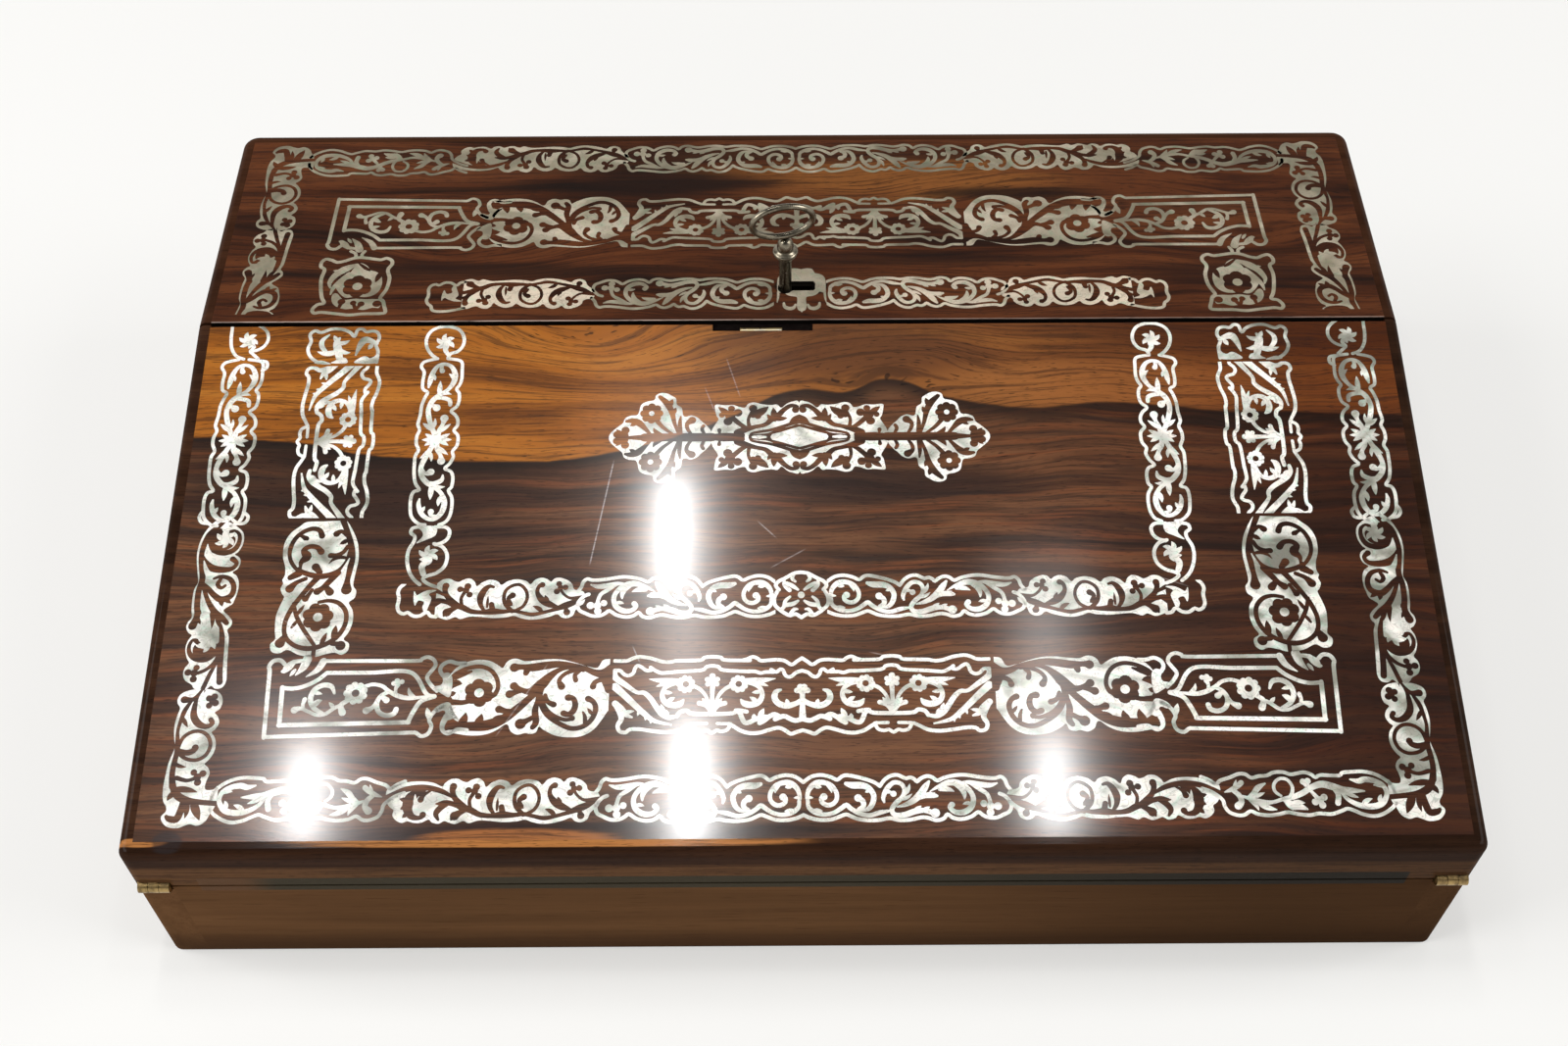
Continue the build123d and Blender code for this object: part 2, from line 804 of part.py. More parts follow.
def strike_plate():
    """The brass plate that takes the bolt, and what it and the bolt take out of the board."""
    notch_z = back_height - strike_notch_drop
    notch_y = flap_end_y - strike_notch_depth
    notch = block(strike_left, strike_right, notch_y, flap_end_y, notch_z, back_height)
    low = bolt_low - strike_margin
    plate_y = flap_end_y - strike_thickness
    face = block(strike_left, strike_right, plate_y, flap_end_y, low, notch_z)
    tongue_top = slope_z(notch_y, flap_face_n) - tongue_sink
    tongue = block(bolt_left, bolt_right, notch_y, notch_y + strike_tongue, notch_z, tongue_top)
    shelf = block(bolt_left, bolt_right, notch_y, flap_end_y, notch_z - strike_thickness, notch_z)
    mortise = block(
        bolt_left - bolt_clearance,
        bolt_right + bolt_clearance,
        flap_end_y - bolt_throw - bolt_clearance,
        flap_end_y,
        bolt_low - bolt_clearance,
        bolt_high + bolt_clearance,
    )
    strike = face + shelf + tongue - mortise
    middle = (low + notch_z) / 2
    screws = []
    for x in (strike_left + strike_screw_inset, strike_right - strike_screw_inset / 2):
        screws.append(Pos(x, flap_end_y, middle) * Rot(-90, 0, 0) * screw())
    keep("strike_screws", solids_of(screws))
    strike = cut_by(strike, screws)
    keep("strike_plate", strike)
    return strike, [notch, mortise] + screws


def make_lid(cuts, screws):
    """The back lid: board, edging, veneer, inlay, lining and the room for the lock."""
    whole = lid_outside()
    field_x = half_width - edging_width
    field = block(-field_x, field_x, lid_front_y, back_y - edging_width, 0, everywhere)
    veneer_low = back_height - veneer_thickness
    under_veneer = block(-half_width, half_width, lid_front_y, back_y, lid_bottom, veneer_low)
    x1 = inner_x - lid_lining_margin
    y0, y1 = divider_back + lid_lining_margin, back_inner_y - lid_lining_margin
    lining = block(-x1, x1, y0, y1, lid_bottom, lid_bottom + lining_thickness)
    lock_room, lock_screws = make_lock()
    shank_room = keyhole(lock_top, back_height)
    inside = whole & field
    cutters = cuts + screws + lock_room + lock_screws + [shank_room]
    keep("lid_board", cut_by(inside & under_veneer, cutters + [lining]))
    keep("lid_lining", cut_by(lining, cutters))
    strips = edging_strips(whole - field, lid_front_y, back_y, False)
    keep("lid_edging", solids_of([cut_by(strip, cuts + screws) for strip in strips]))
    shield = escutcheon()
    veneer = let_in(inside - under_veneer, lid_inlay())
    keep("lid_veneer", cut_by(veneer, [shield, shank_room]))
    keep("key_escutcheon", shield - shank_room)


# Lock and key


def keyhole(z0, z1):
    """A round hole for the key's shank, with a slot for its bit that points along +X."""
    hole = bar_z(key_x, key_y, z0, z1, key_shank_radius + keyhole_clearance)
    end = key_x + key_bit_reach + keyhole_clearance
    half = key_bit_thickness / 2 + keyhole_clearance
    return hole + block(key_x, end, key_y - half, key_y + half, z0, z1)


def escutcheon():
    """The pearl plate round the keyhole."""
    width = escutcheon_right - escutcheon_left
    height = escutcheon_back - escutcheon_front
    x = (escutcheon_left + escutcheon_right) / 2
    place = on_lid(x, (escutcheon_front + escutcheon_back) / 2)
    return place * plate(width, height, strip_corner_radius)


def lock_case():
    """The lock's box with its selvedge in front, and the keyhole in its top."""
    case = block(lock_left, lock_right, lid_front_y, lock_back_y, lock_floor, lock_top)
    case -= block(
        lock_left + lock_wall,
        lock_right - lock_wall,
        lid_front_y + selvedge_thickness,
        lock_back_y - lock_wall,
        lock_floor,
        lock_top - lock_wall,
    )
    case -= block(
        bolt_left - bolt_clearance,
        bolt_right + bolt_clearance,
        lid_front_y,
        lid_front_y + selvedge_thickness,
        bolt_low - bolt_clearance,
        bolt_high + bolt_clearance,
    )
    return case - keyhole(lock_top - lock_wall, lock_top)


def lock_bolt():
    """The straight bolt: a wide head in the selvedge and a narrow tail past the key."""
    y0 = lid_front_y + bolt_clearance / 2
    head_end = key_y - key_bit_reach - 2 * bolt_clearance
    tail_end = lock_back_y - lock_wall - bolt_clearance
    head = block(bolt_left, bolt_right, y0, head_end, bolt_low, bolt_high)
    tail_right = bolt_left + bolt_tail_width
    return head + block(bolt_left, tail_right, y0, tail_end, bolt_low, bolt_high)


def key_curtain():
    """The sleeve that turns with the key, slotted for its bit."""
    z0 = lock_floor + curtain_clearance
    z1 = lock_top - lock_wall - curtain_clearance
    seat = bit_low - curtain_clearance
    sleeve = bar_z(key_x, key_y, z0, z1, curtain_radius)
    sleeve -= bar_z(key_x, key_y, seat, z1, key_shank_radius + curtain_clearance)
    sleeve -= bar_z(key_x, key_y, z0, z1, drill_pin_radius + pin_clearance)
    half = key_bit_thickness / 2 + curtain_clearance
    return sleeve - block(key_x, key_x + curtain_radius, key_y - half, key_y + half, seat, z1)


def wire_bend(x, z, radius, start, end):
    """Round wire bent about one centre, between two angles in degrees."""
    section = Plane.XZ * Pos(radius, 0) * Circle(bow_wire_radius)
    bend = revolve(section, Axis.Z, end - start)
    return Pos(x, 0, z) * Rot(90, 0, 0) * Rot(0, 0, start) * bend


def key_bow(base):
    """The oval ring on the stem, bent from round wire: two close bends joined by two wide ones."""
    half_long = bow_width / 2 - bow_wire_radius
    half_high = bow_height / 2 - bow_wire_radius
    off = half_long - bow_end_radius
    gain = half_high - bow_end_radius
    drop = (off**2 - gain**2) / (2 * gain)
    turn = degrees(atan(drop / off))
    ring = wire_bend(0, -drop, half_high + drop, turn, 180 - turn)
    ring += wire_bend(0, drop, half_high + drop, turn - 180, -turn)
    ring += wire_bend(off, 0, bow_end_radius, -turn, turn)
    ring += wire_bend(-off, 0, bow_end_radius, 180 - turn, 180 + turn)
    return Pos(0, 0, base + bow_height / 2) * Rot(0, 0, bow_twist) * ring


def key_stem(collar_low, collar_high, bead_z):
    """The stem, its collar and the bead, turned from one rod."""
    rim = key_collar_radius - key_collar_edge
    rim_z = collar_low + 2 * key_collar_edge
    bead_side = key_bead_radius * cos(pi / 4)
    outline = Polyline((0, bit_low), (key_shank_radius, bit_low), (key_shank_radius, collar_low))
    outline += Line(outline @ 1, (rim, rim_z - key_collar_edge))
    outline += ThreePointArc(
        (rim, rim_z - key_collar_edge), (key_collar_radius, rim_z), (rim, rim_z + key_collar_edge)
    )
    outline += Line((rim, rim_z + key_collar_edge), (bead_side, collar_high))
    outline += ThreePointArc(
        (bead_side, collar_high), (key_bead_radius, bead_z), (0, bead_z + key_bead_radius)
    )
    outline += Line((0, bead_z + key_bead_radius), (0, bit_low))
    return revolve(Plane.XZ * make_face(outline), Axis.Z)


def key():
    """The key: pipe stem, bit, collar, bead and bow."""
    collar_low = back_height + stem_above_lid
    collar_high = collar_low + key_collar_height
    bead_z = collar_high + key_bead_radius * cos(pi / 4)
    bow_base = bead_z + key_bead_radius - bow_wire_radius
    half = key_bit_thickness / 2
    bit = block(0, key_bit_reach, -half, half, bit_low, bit_high)
    bit -= block(ward_start, ward_end, -half, half, bit_high - ward_depth, bit_high)
    body = key_stem(collar_low, collar_high, bead_z) + key_bow(bow_base) + bit
    return Pos(key_x, key_y, 0) * (body - bar_z(0, 0, bit_low, bit_low + key_bore_depth, key_bore_radius))


def make_lock():
    """Stores the lock and the key. Gives what they take out of the lid, and their screws."""
    plate_left = lock_left - lock_plate_margin
    plate_right = lock_right + lock_plate_margin
    cap = block(plate_left, plate_right, lid_front_y, lock_back_y, lid_bottom, lock_floor)
    screws = []
    for x in (lock_left - lock_plate_margin / 2, lock_right + lock_plate_margin / 2):
        for y in (lid_front_y + lock_screw_y, lock_back_y - lock_screw_y):
            screws.append(Pos(x, y, lid_bottom) * Rot(180, 0, 0) * screw())
    keep("lock_screws", solids_of(screws))
    keep("lock_plate", cut_by(cap, screws))
    keep("lock_case", lock_case())
    pin_top = bit_low + key_bore_depth - drill_pin_clearance
    keep("drill_pin", bar_z(key_x, key_y, lock_floor, pin_top, drill_pin_radius))
    keep("lock_bolt", lock_bolt())
    keep("key_curtain", key_curtain())
    keep("key", key())
    room = block(lock_left, lock_right, lid_front_y, lock_back_y, lock_floor, lock_top)
    return [cap, room], screws


def main():
    """Builds every sub-part and writes one STEP file for each."""
    cuts, screws = make_hinges()
    make_case(cuts, screws["case"])
    make_bottles()
    keep("pen_tray", pen_tray())
    make_writing_board()
    make_flap(cuts, screws["flap"])
    make_lid(cuts, screws["lid"])
    os.makedirs("parts", exist_ok=True)
    for name, shape in parts.items():
        export_step(shape, f"parts/{name}.step")
    print(f"{len(parts)} sub-parts, slope {degrees(slope):.3f} degrees")
    print(f"flap pivot y {front_y:.3f} z {flap_pivot_z:.3f}")
    print(f"lid pivot y {back_y:.3f} z {lid_pivot_z:.3f}")
    print(f"key x {key_x:.3f} y {key_y:.3f}")
    print(f"cap pivot y {bottle_y + cap_pivot_y:.3f} z {bottle_base + cap_pivot_z:.3f}")


main()
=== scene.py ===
"""A rosewood writing slope with mother-of-pearl inlay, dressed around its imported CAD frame."""

import json
import math
import re

import bmesh
import bpy
from mathutils import Matrix, Vector
from mathutils.geometry import delaunay_2d_cdt


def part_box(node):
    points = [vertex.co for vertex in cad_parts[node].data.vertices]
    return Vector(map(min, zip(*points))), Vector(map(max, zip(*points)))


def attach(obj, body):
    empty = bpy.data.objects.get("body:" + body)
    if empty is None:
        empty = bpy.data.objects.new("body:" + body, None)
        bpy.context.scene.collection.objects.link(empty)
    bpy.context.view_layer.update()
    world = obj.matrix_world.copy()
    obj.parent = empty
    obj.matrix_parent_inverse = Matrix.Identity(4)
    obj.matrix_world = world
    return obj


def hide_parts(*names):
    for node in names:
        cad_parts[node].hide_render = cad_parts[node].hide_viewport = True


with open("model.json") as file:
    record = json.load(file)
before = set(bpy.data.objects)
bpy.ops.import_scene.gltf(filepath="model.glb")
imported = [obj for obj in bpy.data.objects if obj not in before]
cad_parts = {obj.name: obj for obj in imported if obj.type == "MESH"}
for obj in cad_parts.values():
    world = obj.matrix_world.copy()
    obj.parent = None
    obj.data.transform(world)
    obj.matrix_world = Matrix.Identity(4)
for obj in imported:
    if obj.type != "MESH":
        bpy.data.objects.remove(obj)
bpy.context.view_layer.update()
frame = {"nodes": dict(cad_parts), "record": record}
nodes = frame["nodes"]
scene = bpy.context.scene
scene.view_settings.view_transform = "Standard"

MM = 0.001

# Driving sizes of the case, in millimetres, as the CAD has them
HALF_WIDTH = 200.0
FRONT_Y = -136.0
SEAM_Y = 42.3
SEAM_HALF_GAP = 0.5
FRONT_TOP = 64.4
BACK_TOP = 99.0
SLOPE = math.atan((BACK_TOP - FRONT_TOP) / (SEAM_Y - FRONT_Y))

# The camera: where it stood, and how it was turned
CAMERA_PLACE = Vector((-6.81, -383.63, 553.07)) * MM
CAMERA_PITCH = math.radians(53.034)
CAMERA_YAW = math.radians(0.264)
CAMERA_ROLL = math.radians(-0.0917)
CAMERA_LENS = 42.66

# The share of plain glow that the floor shows the camera: at the box, and from so many
# millimetres off it on
FLOOR_GLOW = (0.4, 0.62)
GLOW_REACH = 50.0
# Between these distances from the middle, in metres, the floor turns into the surround
FLOOR_FADES = (0.55, 1.9)
# How bright the surround is near the horizon, and overhead
SURROUND, OVERHEAD = 0.93, 0.02
PALE = (1.0, 0.99, 0.97)

# The keyhole's round part, from the middle and back from the seam, and the right end of its slot
KEY_X, KEY_T, SLOT_END = -4.2, 15.2, 5.9
KEY_Y = SEAM_Y + KEY_T


def on_flap(x, along, above=0.0):
    """A point of the flap's face in metres: across, up the slope from its front arris, and above it."""
    y = FRONT_Y + along * math.cos(SLOPE) - above * math.sin(SLOPE)
    z = FRONT_TOP + along * math.sin(SLOPE) + above * math.cos(SLOPE)
    return Vector((x, y, z)) * MM


def on_lid(x, along, above=0.0):
    """A point of the lid's face in metres: across, back from the seam, and above it."""
    return Vector((x, SEAM_Y + along, BACK_TOP + above)) * MM


# Nodes of the materials


class Value:
    """A number, place or colour that a node gives. Arithmetic on it adds Math nodes."""

    def __init__(self, socket):
        self.socket = socket
        self.tree = socket.id_data

    def math(self, operation, *others):
        return add("Math", dict(enumerate((self, *others))), operation=operation)

    def __add__(self, other):
        return self.math("ADD", other)

    def __sub__(self, other):
        return self.math("SUBTRACT", other)

    def __rsub__(self, other):
        return add("Math", {0: other, 1: self}, operation="SUBTRACT")

    def __mul__(self, other):
        return self.math("MULTIPLY", other)

    def spread(self, low, high, to_low=0.0, to_high=1.0, kind="SMOOTHSTEP"):
        """Maps its range to another, held at both ends."""
        inputs = {"Value": self, "From Min": low, "From Max": high, "To Min": to_low, "To Max": to_high}
        return add("MapRange", inputs, "Result", interpolation_type=kind)


def feed(node, inputs):
    """Gives a node's inputs their constants, or links them to the Values that drive them."""
    for key, value in dict(inputs).items():
        socket = node.inputs[key]
        if isinstance(value, Value):
            value.tree.links.new(value.socket, socket)
        elif socket.type == "RGBA":
            socket.default_value = (*value, 1.0)
        else:
            socket.default_value = value


def add(kind, inputs=(), output=0, tree=None, **settings):
    """Adds one node, in the tree of the Values that it takes, and gives one of its outputs."""
    tree = tree or next(v.tree for v in dict(inputs).values() if isinstance(v, Value))
    made = tree.nodes.new("ShaderNode" + kind)
    for name, value in settings.items():
        setattr(made, name, value)
    feed(made, inputs)
    return Value(made.outputs[output])


def split(place, unit=1.0):
    """The three numbers of a place."""
    outputs = add("SeparateXYZ", {0: place}).socket.node.outputs
    return [Value(outputs[axis]) * unit for axis in "XYZ"]


def noise(where, scale, detail=3.0, roughness=0.55, distortion=0.0):
    """A noise value from 0 to 1."""
    inputs = {"Vector": where, "Scale": scale, "Detail": detail}
    inputs |= {"Roughness": roughness, "Distortion": distortion}
    return add("TexNoise", inputs, "Fac")


def blend(share, first, second, how="MIX"):
    """Mixes two colours."""
    return add("Mix", {0: share, 6: first, 7: second}, 2, data_type="RGBA", blend_type=how)


def ramp(value, *stops):
    """A colour ramp. Each stop is a place and a colour."""
    made = add("ValToRGB", {"Fac": value}, "Color")
    bar = made.socket.node.color_ramp
    while len(bar.elements) < len(stops):
        bar.elements.new(0.5)
    for element, (where, colour) in zip(bar.elements, stops):
        element.position = where
        element.color = (*colour, 1.0)
    return made


class Look:
    """One material: its tree, its surface, the colour of its body and places on the piece."""

    def __init__(self, name, values=()):
        self.material = bpy.data.materials.new(name)
        self.material.use_nodes = True
        self.tree = self.material.node_tree
        self.tree.nodes.clear()
        self.surface = self.tree.nodes.new("ShaderNodeBsdfPrincipled")
        self.end = self.tree.nodes.new("ShaderNodeOutputMaterial")
        self.tree.links.new(self.surface.outputs["BSDF"], self.end.inputs["Surface"])
        feed(self.surface, values)
        self.body = None
        self.where = add("TexCoord", (), "Object", self.tree)
        # Millimetres across, back and up, and along the flap's slope or the lid
        self.x, self.y, self.z = split(self.where, 1000.0)
        self.up_the_flap = (self.y - FRONT_Y) * (1.0 / math.cos(SLOPE))
        self.over_the_lid = self.y - SEAM_Y

    def colour(self, body):
        self.body = body
        feed(self.surface, {"Base Color": body})

    def tint(self, share, colour):
        """Lays a colour over the body."""
        self.colour(blend(share, self.body, colour))

    def relief(self, height, distance, strength):
        """Gives the surface a relief of that height in metres."""
        bump = add("Bump", {"Height": height, "Distance": distance, "Strength": strength}, "Normal")
        feed(self.surface, {"Normal": bump})

    def scaled(self, scale, shift=(0, 0, 0)):
        """Object coordinates, scaled and shifted."""
        return add("Mapping", {"Vector": self.where, "Scale": scale, "Location": shift}, "Vector")

    def polish(self, coat, roughness, sheen=0.0):
        """French polish over wood."""
        values = {"Roughness": roughness, "Specular IOR Level": sheen}
        values |= {"Coat Weight": coat, "Coat Roughness": 0.1, "Coat IOR": 1.5}
        feed(self.surface, values)


PORE = (0.006, 0.004, 0.003)
# The three layers of plain wood: how its noise is scaled along and across the grain, and its kind
BROAD_FIGURE = (5, 60), (5.0, 0.55, 0.6)
FINE_STREAKS = (14, 620), (3.0, 0.6, 0.3)
OPEN_PORES = (70, 2200), (2.0, 0.5, 0.0)


def rosewood(name, dark, light, shift=0.0, along="X", coat=0.6, roughness=0.3):
    """Plain straight-grained wood between two colours."""
    look = Look(name)
    layers = []
    for (lengthwise, crosswise), kind in (BROAD_FIGURE, FINE_STREAKS, OPEN_PORES):
        scale = [lengthwise if axis == along else crosswise for axis in "XYZ"]
        layers.append(noise(look.scaled(scale, (shift, shift, shift)), 1.0, *kind))
    broad, fine, pores = layers
    body = ramp(broad, (0.3, dark), (0.7, light))
    body = blend(fine.spread(0.35, 0.7) * 0.45, body, dark)
    holes = pores.spread(0.62, 0.75)
    look.colour(blend(holes * 0.5, body, (0.006, 0.003, 0.002)))
    look.relief(1.0 - holes, 0.00003, 0.6)
    look.polish(coat, roughness)
    return look


def off_centre(across, along, x, t, wide, high):
    """The square of the distance from a spot, in an oval's own half width and half height."""
    dx, dt = (across - x) * (1.0 / wide), (along - t) * (1.0 / high)
    return dx * dx + dt * dt


def patch(across, along, x, t, wide, high, ragged=0.0, soft=0.45):
    """One oval patch with a ragged edge: 1 inside, 0 outside."""
    far = off_centre(across, along, x, t, wide, high).math("SQRT") + ragged
    return far.spread(1.0 + soft, 1.0 - soft)


def with_patches(body, across, along, ragged, patches):
    """Lays oval patches over a body. Each has its place, half sizes, share, colour and softness."""
    for x, t, wide, high, share, colour, *soft in patches:
        body = blend(patch(across, along, x, t, wide, high, ragged, *soft) * share, body, colour)
    return body


def sheet_noise(across, along, wide, high, shift, *kind):
    """A noise whose marks are that many millimetres wide and high."""
    where = add("CombineXYZ", {0: across * (1.0 / wide) + shift, 1: along * (1.0 / high) + shift})
    return noise(where, 1.0, *kind)


def bent_grain(across, along, knots, drift):
    """Height across the grain, in millimetres, with the grain drifting and bending round knots."""
    bent = sheet_noise(across, along, 120, 45, drift, 2.0) * 22.0 + along
    for *oval, push in knots:
        bent += (off_centre(across, along, *oval) * -1.0).math("EXPONENT") * push
    return bent


def figure(across, bent, shift):
    """Bands, streaks and pores of the wood, each from 0 to 1."""
    bands = sheet_noise(across, bent, 150, 9, shift, 4.0, 0.6, 0.4)
    streaks = sheet_noise(across, bent, 36, 1.1, shift + 7, 4.0, 0.65)
    pores = sheet_noise(across, bent, 4.5, 0.3, shift + 3, 1.0, 0.5)
    return bands, streaks, pores


# Where each scratch starts and ends on the flap, and how strong it is
SCRATCHES = (
    (-59.5, 130, -66, 92, 0.6),
    (-77, 60, -92, 36, 0.35),
    (-14, 108, -7, 101, 0.5),
    (2, 98, -10, 91, 0.4),
    (-24, 168, -19, 152, 0.3),
    (-52, 66, -49, 59, 0.5),
    (20, 63, 33, 60, 0.35),
    (-31, 157, -27, 146, 0.3),
    (-160, 75, -150, 68, 0.35),
    (110, 88, 121, 84, 0.3),
)


def scratched(across, along, body):
    """Fine pale scratches in the polish, each a straight line."""
    for x0, t0, x1, t1, share in SCRATCHES:
        length = math.dist((x0, t0), (x1, t1))
        ux, ut = (x1 - x0) / length, (t1 - t0) / length
        run = (across - x0) * ux + (along - t0) * ut
        off = (along - t0) * ux - (across - x0) * ut
        ends = run.spread(0.0, 3.0) * run.spread(length, length - 3.0)
        body = blend(off.math("ABSOLUTE").spread(0.3, 0.1) * ends * share, body, (0.5, 0.44, 0.42))
    return body


def lay_figure(look, body, streaks, pores, dark, strength, coat=0.8, sheen=0.1):
    """Draws the dark streaks and the pores over a body colour, and polishes it."""
    body = blend(streaks.spread(0.48, 0.61) * strength, body, dark)
    holes = pores.spread(0.63, 0.7)
    look.colour(blend(holes * 0.75, body, PORE))
    look.relief(streaks * 0.25 - holes, 0.00002, 0.5)
    look.polish(coat, 0.34, sheen)
    return look


# The flame's lower edge on the flap: across, and up from the front arris
FLAME_EDGE = (
    ((-200, 136), (-160, 134), (-140, 130), (-100, 127), (-60, 130), (-20, 144), (0, 153))
    + ((14, 152), (30, 157), (48, 150), (75, 146), (100, 148), (130, 145), (200, 143))
)
CHARRED = (0.018, 0.01, 0.008)
# A patch of newer wood let in at the front edge, which the edging and the veneer share
REPAIR = (-185.5, 4.6, 3.8, 3.0, 0.7, (0.024, 0.019, 0.019), 0.2)


def height_of_the_flame(across, along):
    """How far a spot lies above the flame's lower edge, in millimetres."""
    line = add("FloatCurve", {"Value": across.spread(-HALF_WIDTH, HALF_WIDTH, kind="LINEAR")})
    mapping = line.socket.node.mapping
    points = mapping.curves[0].points
    for k, (x, t) in enumerate(FLAME_EDGE):
        spot = ((x + HALF_WIDTH) / (2 * HALF_WIDTH), t / 200)
        if k in (0, len(FLAME_EDGE) - 1):
            points[0 if k == 0 else -1].location = spot
        else:
            points.new(*spot)
    mapping.update()
    wave = sheet_noise(across, along, 22, 22, 0.0, 3.0)
    return along - (line * 200.0 + wave * 2.6)


def flap_veneer():
    """The flap's veneer: dark striped wood, with a broad orange flame along its upper side."""
    look = Look("figured_veneer_of_the_flap")
    across, along = look.x, look.up_the_flap
    knots = ((-68, 168, 34, 16, 12), (24, 172, 34, 13, -10), (30, 150, 40, 10, 5))
    bent = bent_grain(across, along, knots, 0.0)
    bands, streaks, pores = figure(across, bent, 0.0)
    ragged = bands * 1.4 - 0.7
    gold = ramp(bands, (0.3, (0.14, 0.044, 0.008)), (0.5, (0.31, 0.1, 0.012)), (0.68, (0.4, 0.145, 0.02)))
    gold = blend(across.spread(-75.0, 60.0) * 0.62, gold, (0.115, 0.046, 0.02))
    gold_patches = (
        (8, 172, 46, 13, 0.6, (0.055, 0.022, 0.012)),
        (150, 179, 75, 13, 0.75, (0.07, 0.023, 0.009)),
        (98, 156, 50, 9, 0.65, (0.34, 0.13, 0.034)),
    )
    gold = with_patches(gold, across, along, ragged, gold_patches)
    stripes = (0.35, (0.026, 0.012, 0.006)), (0.47, (0.076, 0.031, 0.014)), (0.6, (0.145, 0.061, 0.026))
    dark = ramp(bands, *stripes)
    rust = sheet_noise(across, bent, 60, 2.6, 5.0, 4.0, 0.62)
    dark = blend(rust.spread(0.5, 0.64) * 0.6, dark, (0.19, 0.058, 0.019))
    dark = blend(rust.spread(0.45, 0.36) * 0.55, dark, (0.024, 0.017, 0.014))
    warm = patch(across, along, 20, 42, 60, 14, ragged)
    warm = warm.math("MAXIMUM", patch(across, along, -60, 60, 60, 10, ragged))
    dark = blend(warm * 0.5, dark, (0.2, 0.082, 0.034))
    dark_patches = (
        (-150, 116, 66, 15, 0.75, CHARRED),
        (38, 121, 44, 7, 0.75, CHARRED),
        (165, 110, 60, 26, 0.5, CHARRED),
        (150, 60, 70, 22, 0.4, CHARRED),
        (-120, 104, 40, 8, 0.5, CHARRED),
        (180, 28, 46, 46, 0.5, CHARRED),
        REPAIR,
        (-62, 6.8, 84, 3.4, 0.85, (0.012, 0.008, 0.007), 0.4),
        (-82, 4.9, 29, 2.9, 0.9, (0.34, 0.12, 0.03), 0.2),
    )
    dark = with_patches(dark, across, along, ragged, dark_patches)
    above = height_of_the_flame(across, along)
    body = blend(above.spread(0.0, 1.2), dark, gold)
    border = above.spread(-7.0, 0.3) * above.spread(1.6, 0.5)
    body = blend(border * across.spread(200.0, -100.0, 0.75, 0.95), body, (0.012, 0.008, 0.006))
    # Painted shade: darker, and a little redder, toward the right, away from the light
    body = blend(across.spread(30.0, 185.0), body, (0.68, 0.53, 0.47), "MULTIPLY")
    return lay_figure(look, scratched(across, along, body), streaks, pores, (0.026, 0.011, 0.007), 0.6)


def flap_edging():
    """The flap's dark edging, with an orange streak of lighter wood along part of its front."""
    look = Look("edging_of_the_flap")
    across, along, level = look.x, look.up_the_flap, look.z
    bands, streaks, pores = figure(across, along + level, 11.0)
    ragged = bands * 1.6 - 0.8
    body = ramp(bands, (0.35, (0.02, 0.009, 0.005)), (0.6, (0.048, 0.021, 0.011)))
    brown = level.spread(58.5, 55.5) * along.spread(1.0, 0.2)
    body = blend(brown * 0.85, body, (0.125, 0.058, 0.024))
    on_top = along.spread(2.2, 2.7) * 0.92
    for oval in ((-67, 4.1, 66, 1.7), (-193, 4.4, 6.5, 1.2)):
        body = blend(patch(across, along, *oval, ragged, 0.2) * on_top, body, (0.42, 0.17, 0.05))
    body = with_patches(body, across, along, ragged, [REPAIR])
    lay_figure(look, body, streaks, pores, (0.02, 0.01, 0.007), 0.5, 0.08, 0.0)
    # Painted shade: darker toward the right, away from the light
    look.tint(across.spread(10, 170, 0.0, 0.4), (0.01, 0.006, 0.004))
    return look


# Black painted shade, for the hollows where no light reaches
SHADE_BLACK = (0.006, 0.005, 0.004)
# Where that painted shade sets in on the lid's front edge, going forward and down
EDGE_Y, EDGE_Z = (43.5, 43.3), (98.9, 98.8)


def black_shade_at_the_keyhole(look):
    """Paints the shade in the keyhole's sawn walls, and in the seam on the lid's front edge below its
    arris, black.
    """
    look.tint(patch(look.x, look.y, 1.2, SEAM_Y + 16, 9, 4.5, 0.0, 0.1), SHADE_BLACK)
    look.tint(look.y.spread(*EDGE_Y) * look.z.spread(*EDGE_Z), SHADE_BLACK)
    return look


def lid_veneer():
    """The lid's veneer: red-brown wood with dark flames."""
    look = Look("figured_veneer_of_the_lid")
    across, along = look.x, look.over_the_lid
    knots = ((-110, 30, 40, 16, 14), (90, 70, 60, 14, -9), (150, 34, 40, 12, 8))
    bands, streaks, pores = figure(across, bent_grain(across, along, knots, 3.1), 21.0)
    stripes = (0.34, (0.018, 0.008, 0.005)), (0.47, (0.062, 0.019, 0.008)), (0.62, (0.105, 0.033, 0.012))
    body = ramp(bands, *stripes)
    black, brown = (0.014, 0.008, 0.006), (0.13, 0.045, 0.018)
    patches = (
        (40, 68, 60, 10, 0.75, (0.23, 0.085, 0.022)),
        (-140, 73, 50, 6, 0.5, brown),
        (120, 52, 46, 9, 0.45, brown),
        (-45, 66, 40, 5, 0.9, (0.01, 0.007, 0.006)),
        (78, 61, 30, 3.5, 0.85, (0.012, 0.008, 0.006)),
        (-30, 82, 90, 4, 0.7, black),
        (-105, 24, 70, 4, 0.75, black),
        (40, 28, 70, 3, 0.7, black),
        (150, 22, 40, 6, 0.6, (0.016, 0.008, 0.006)),
    )
    body = with_patches(body, across, along, bands * 2.0 - 1.0, patches)
    # Painted highlight: a pale line along the lid's front arris, as the edge catching the light, stronger
    # toward the left
    wear_and_highlight = along.spread(1.05, 0.75) * across.spread(10.0, -60.0, 0.45, 0.95)
    body = blend(wear_and_highlight, body, (0.42, 0.32, 0.27))
    return black_shade_at_the_keyhole(lay_figure(look, body, streaks, pores, (0.018, 0.008, 0.006), 0.6, 0.4))


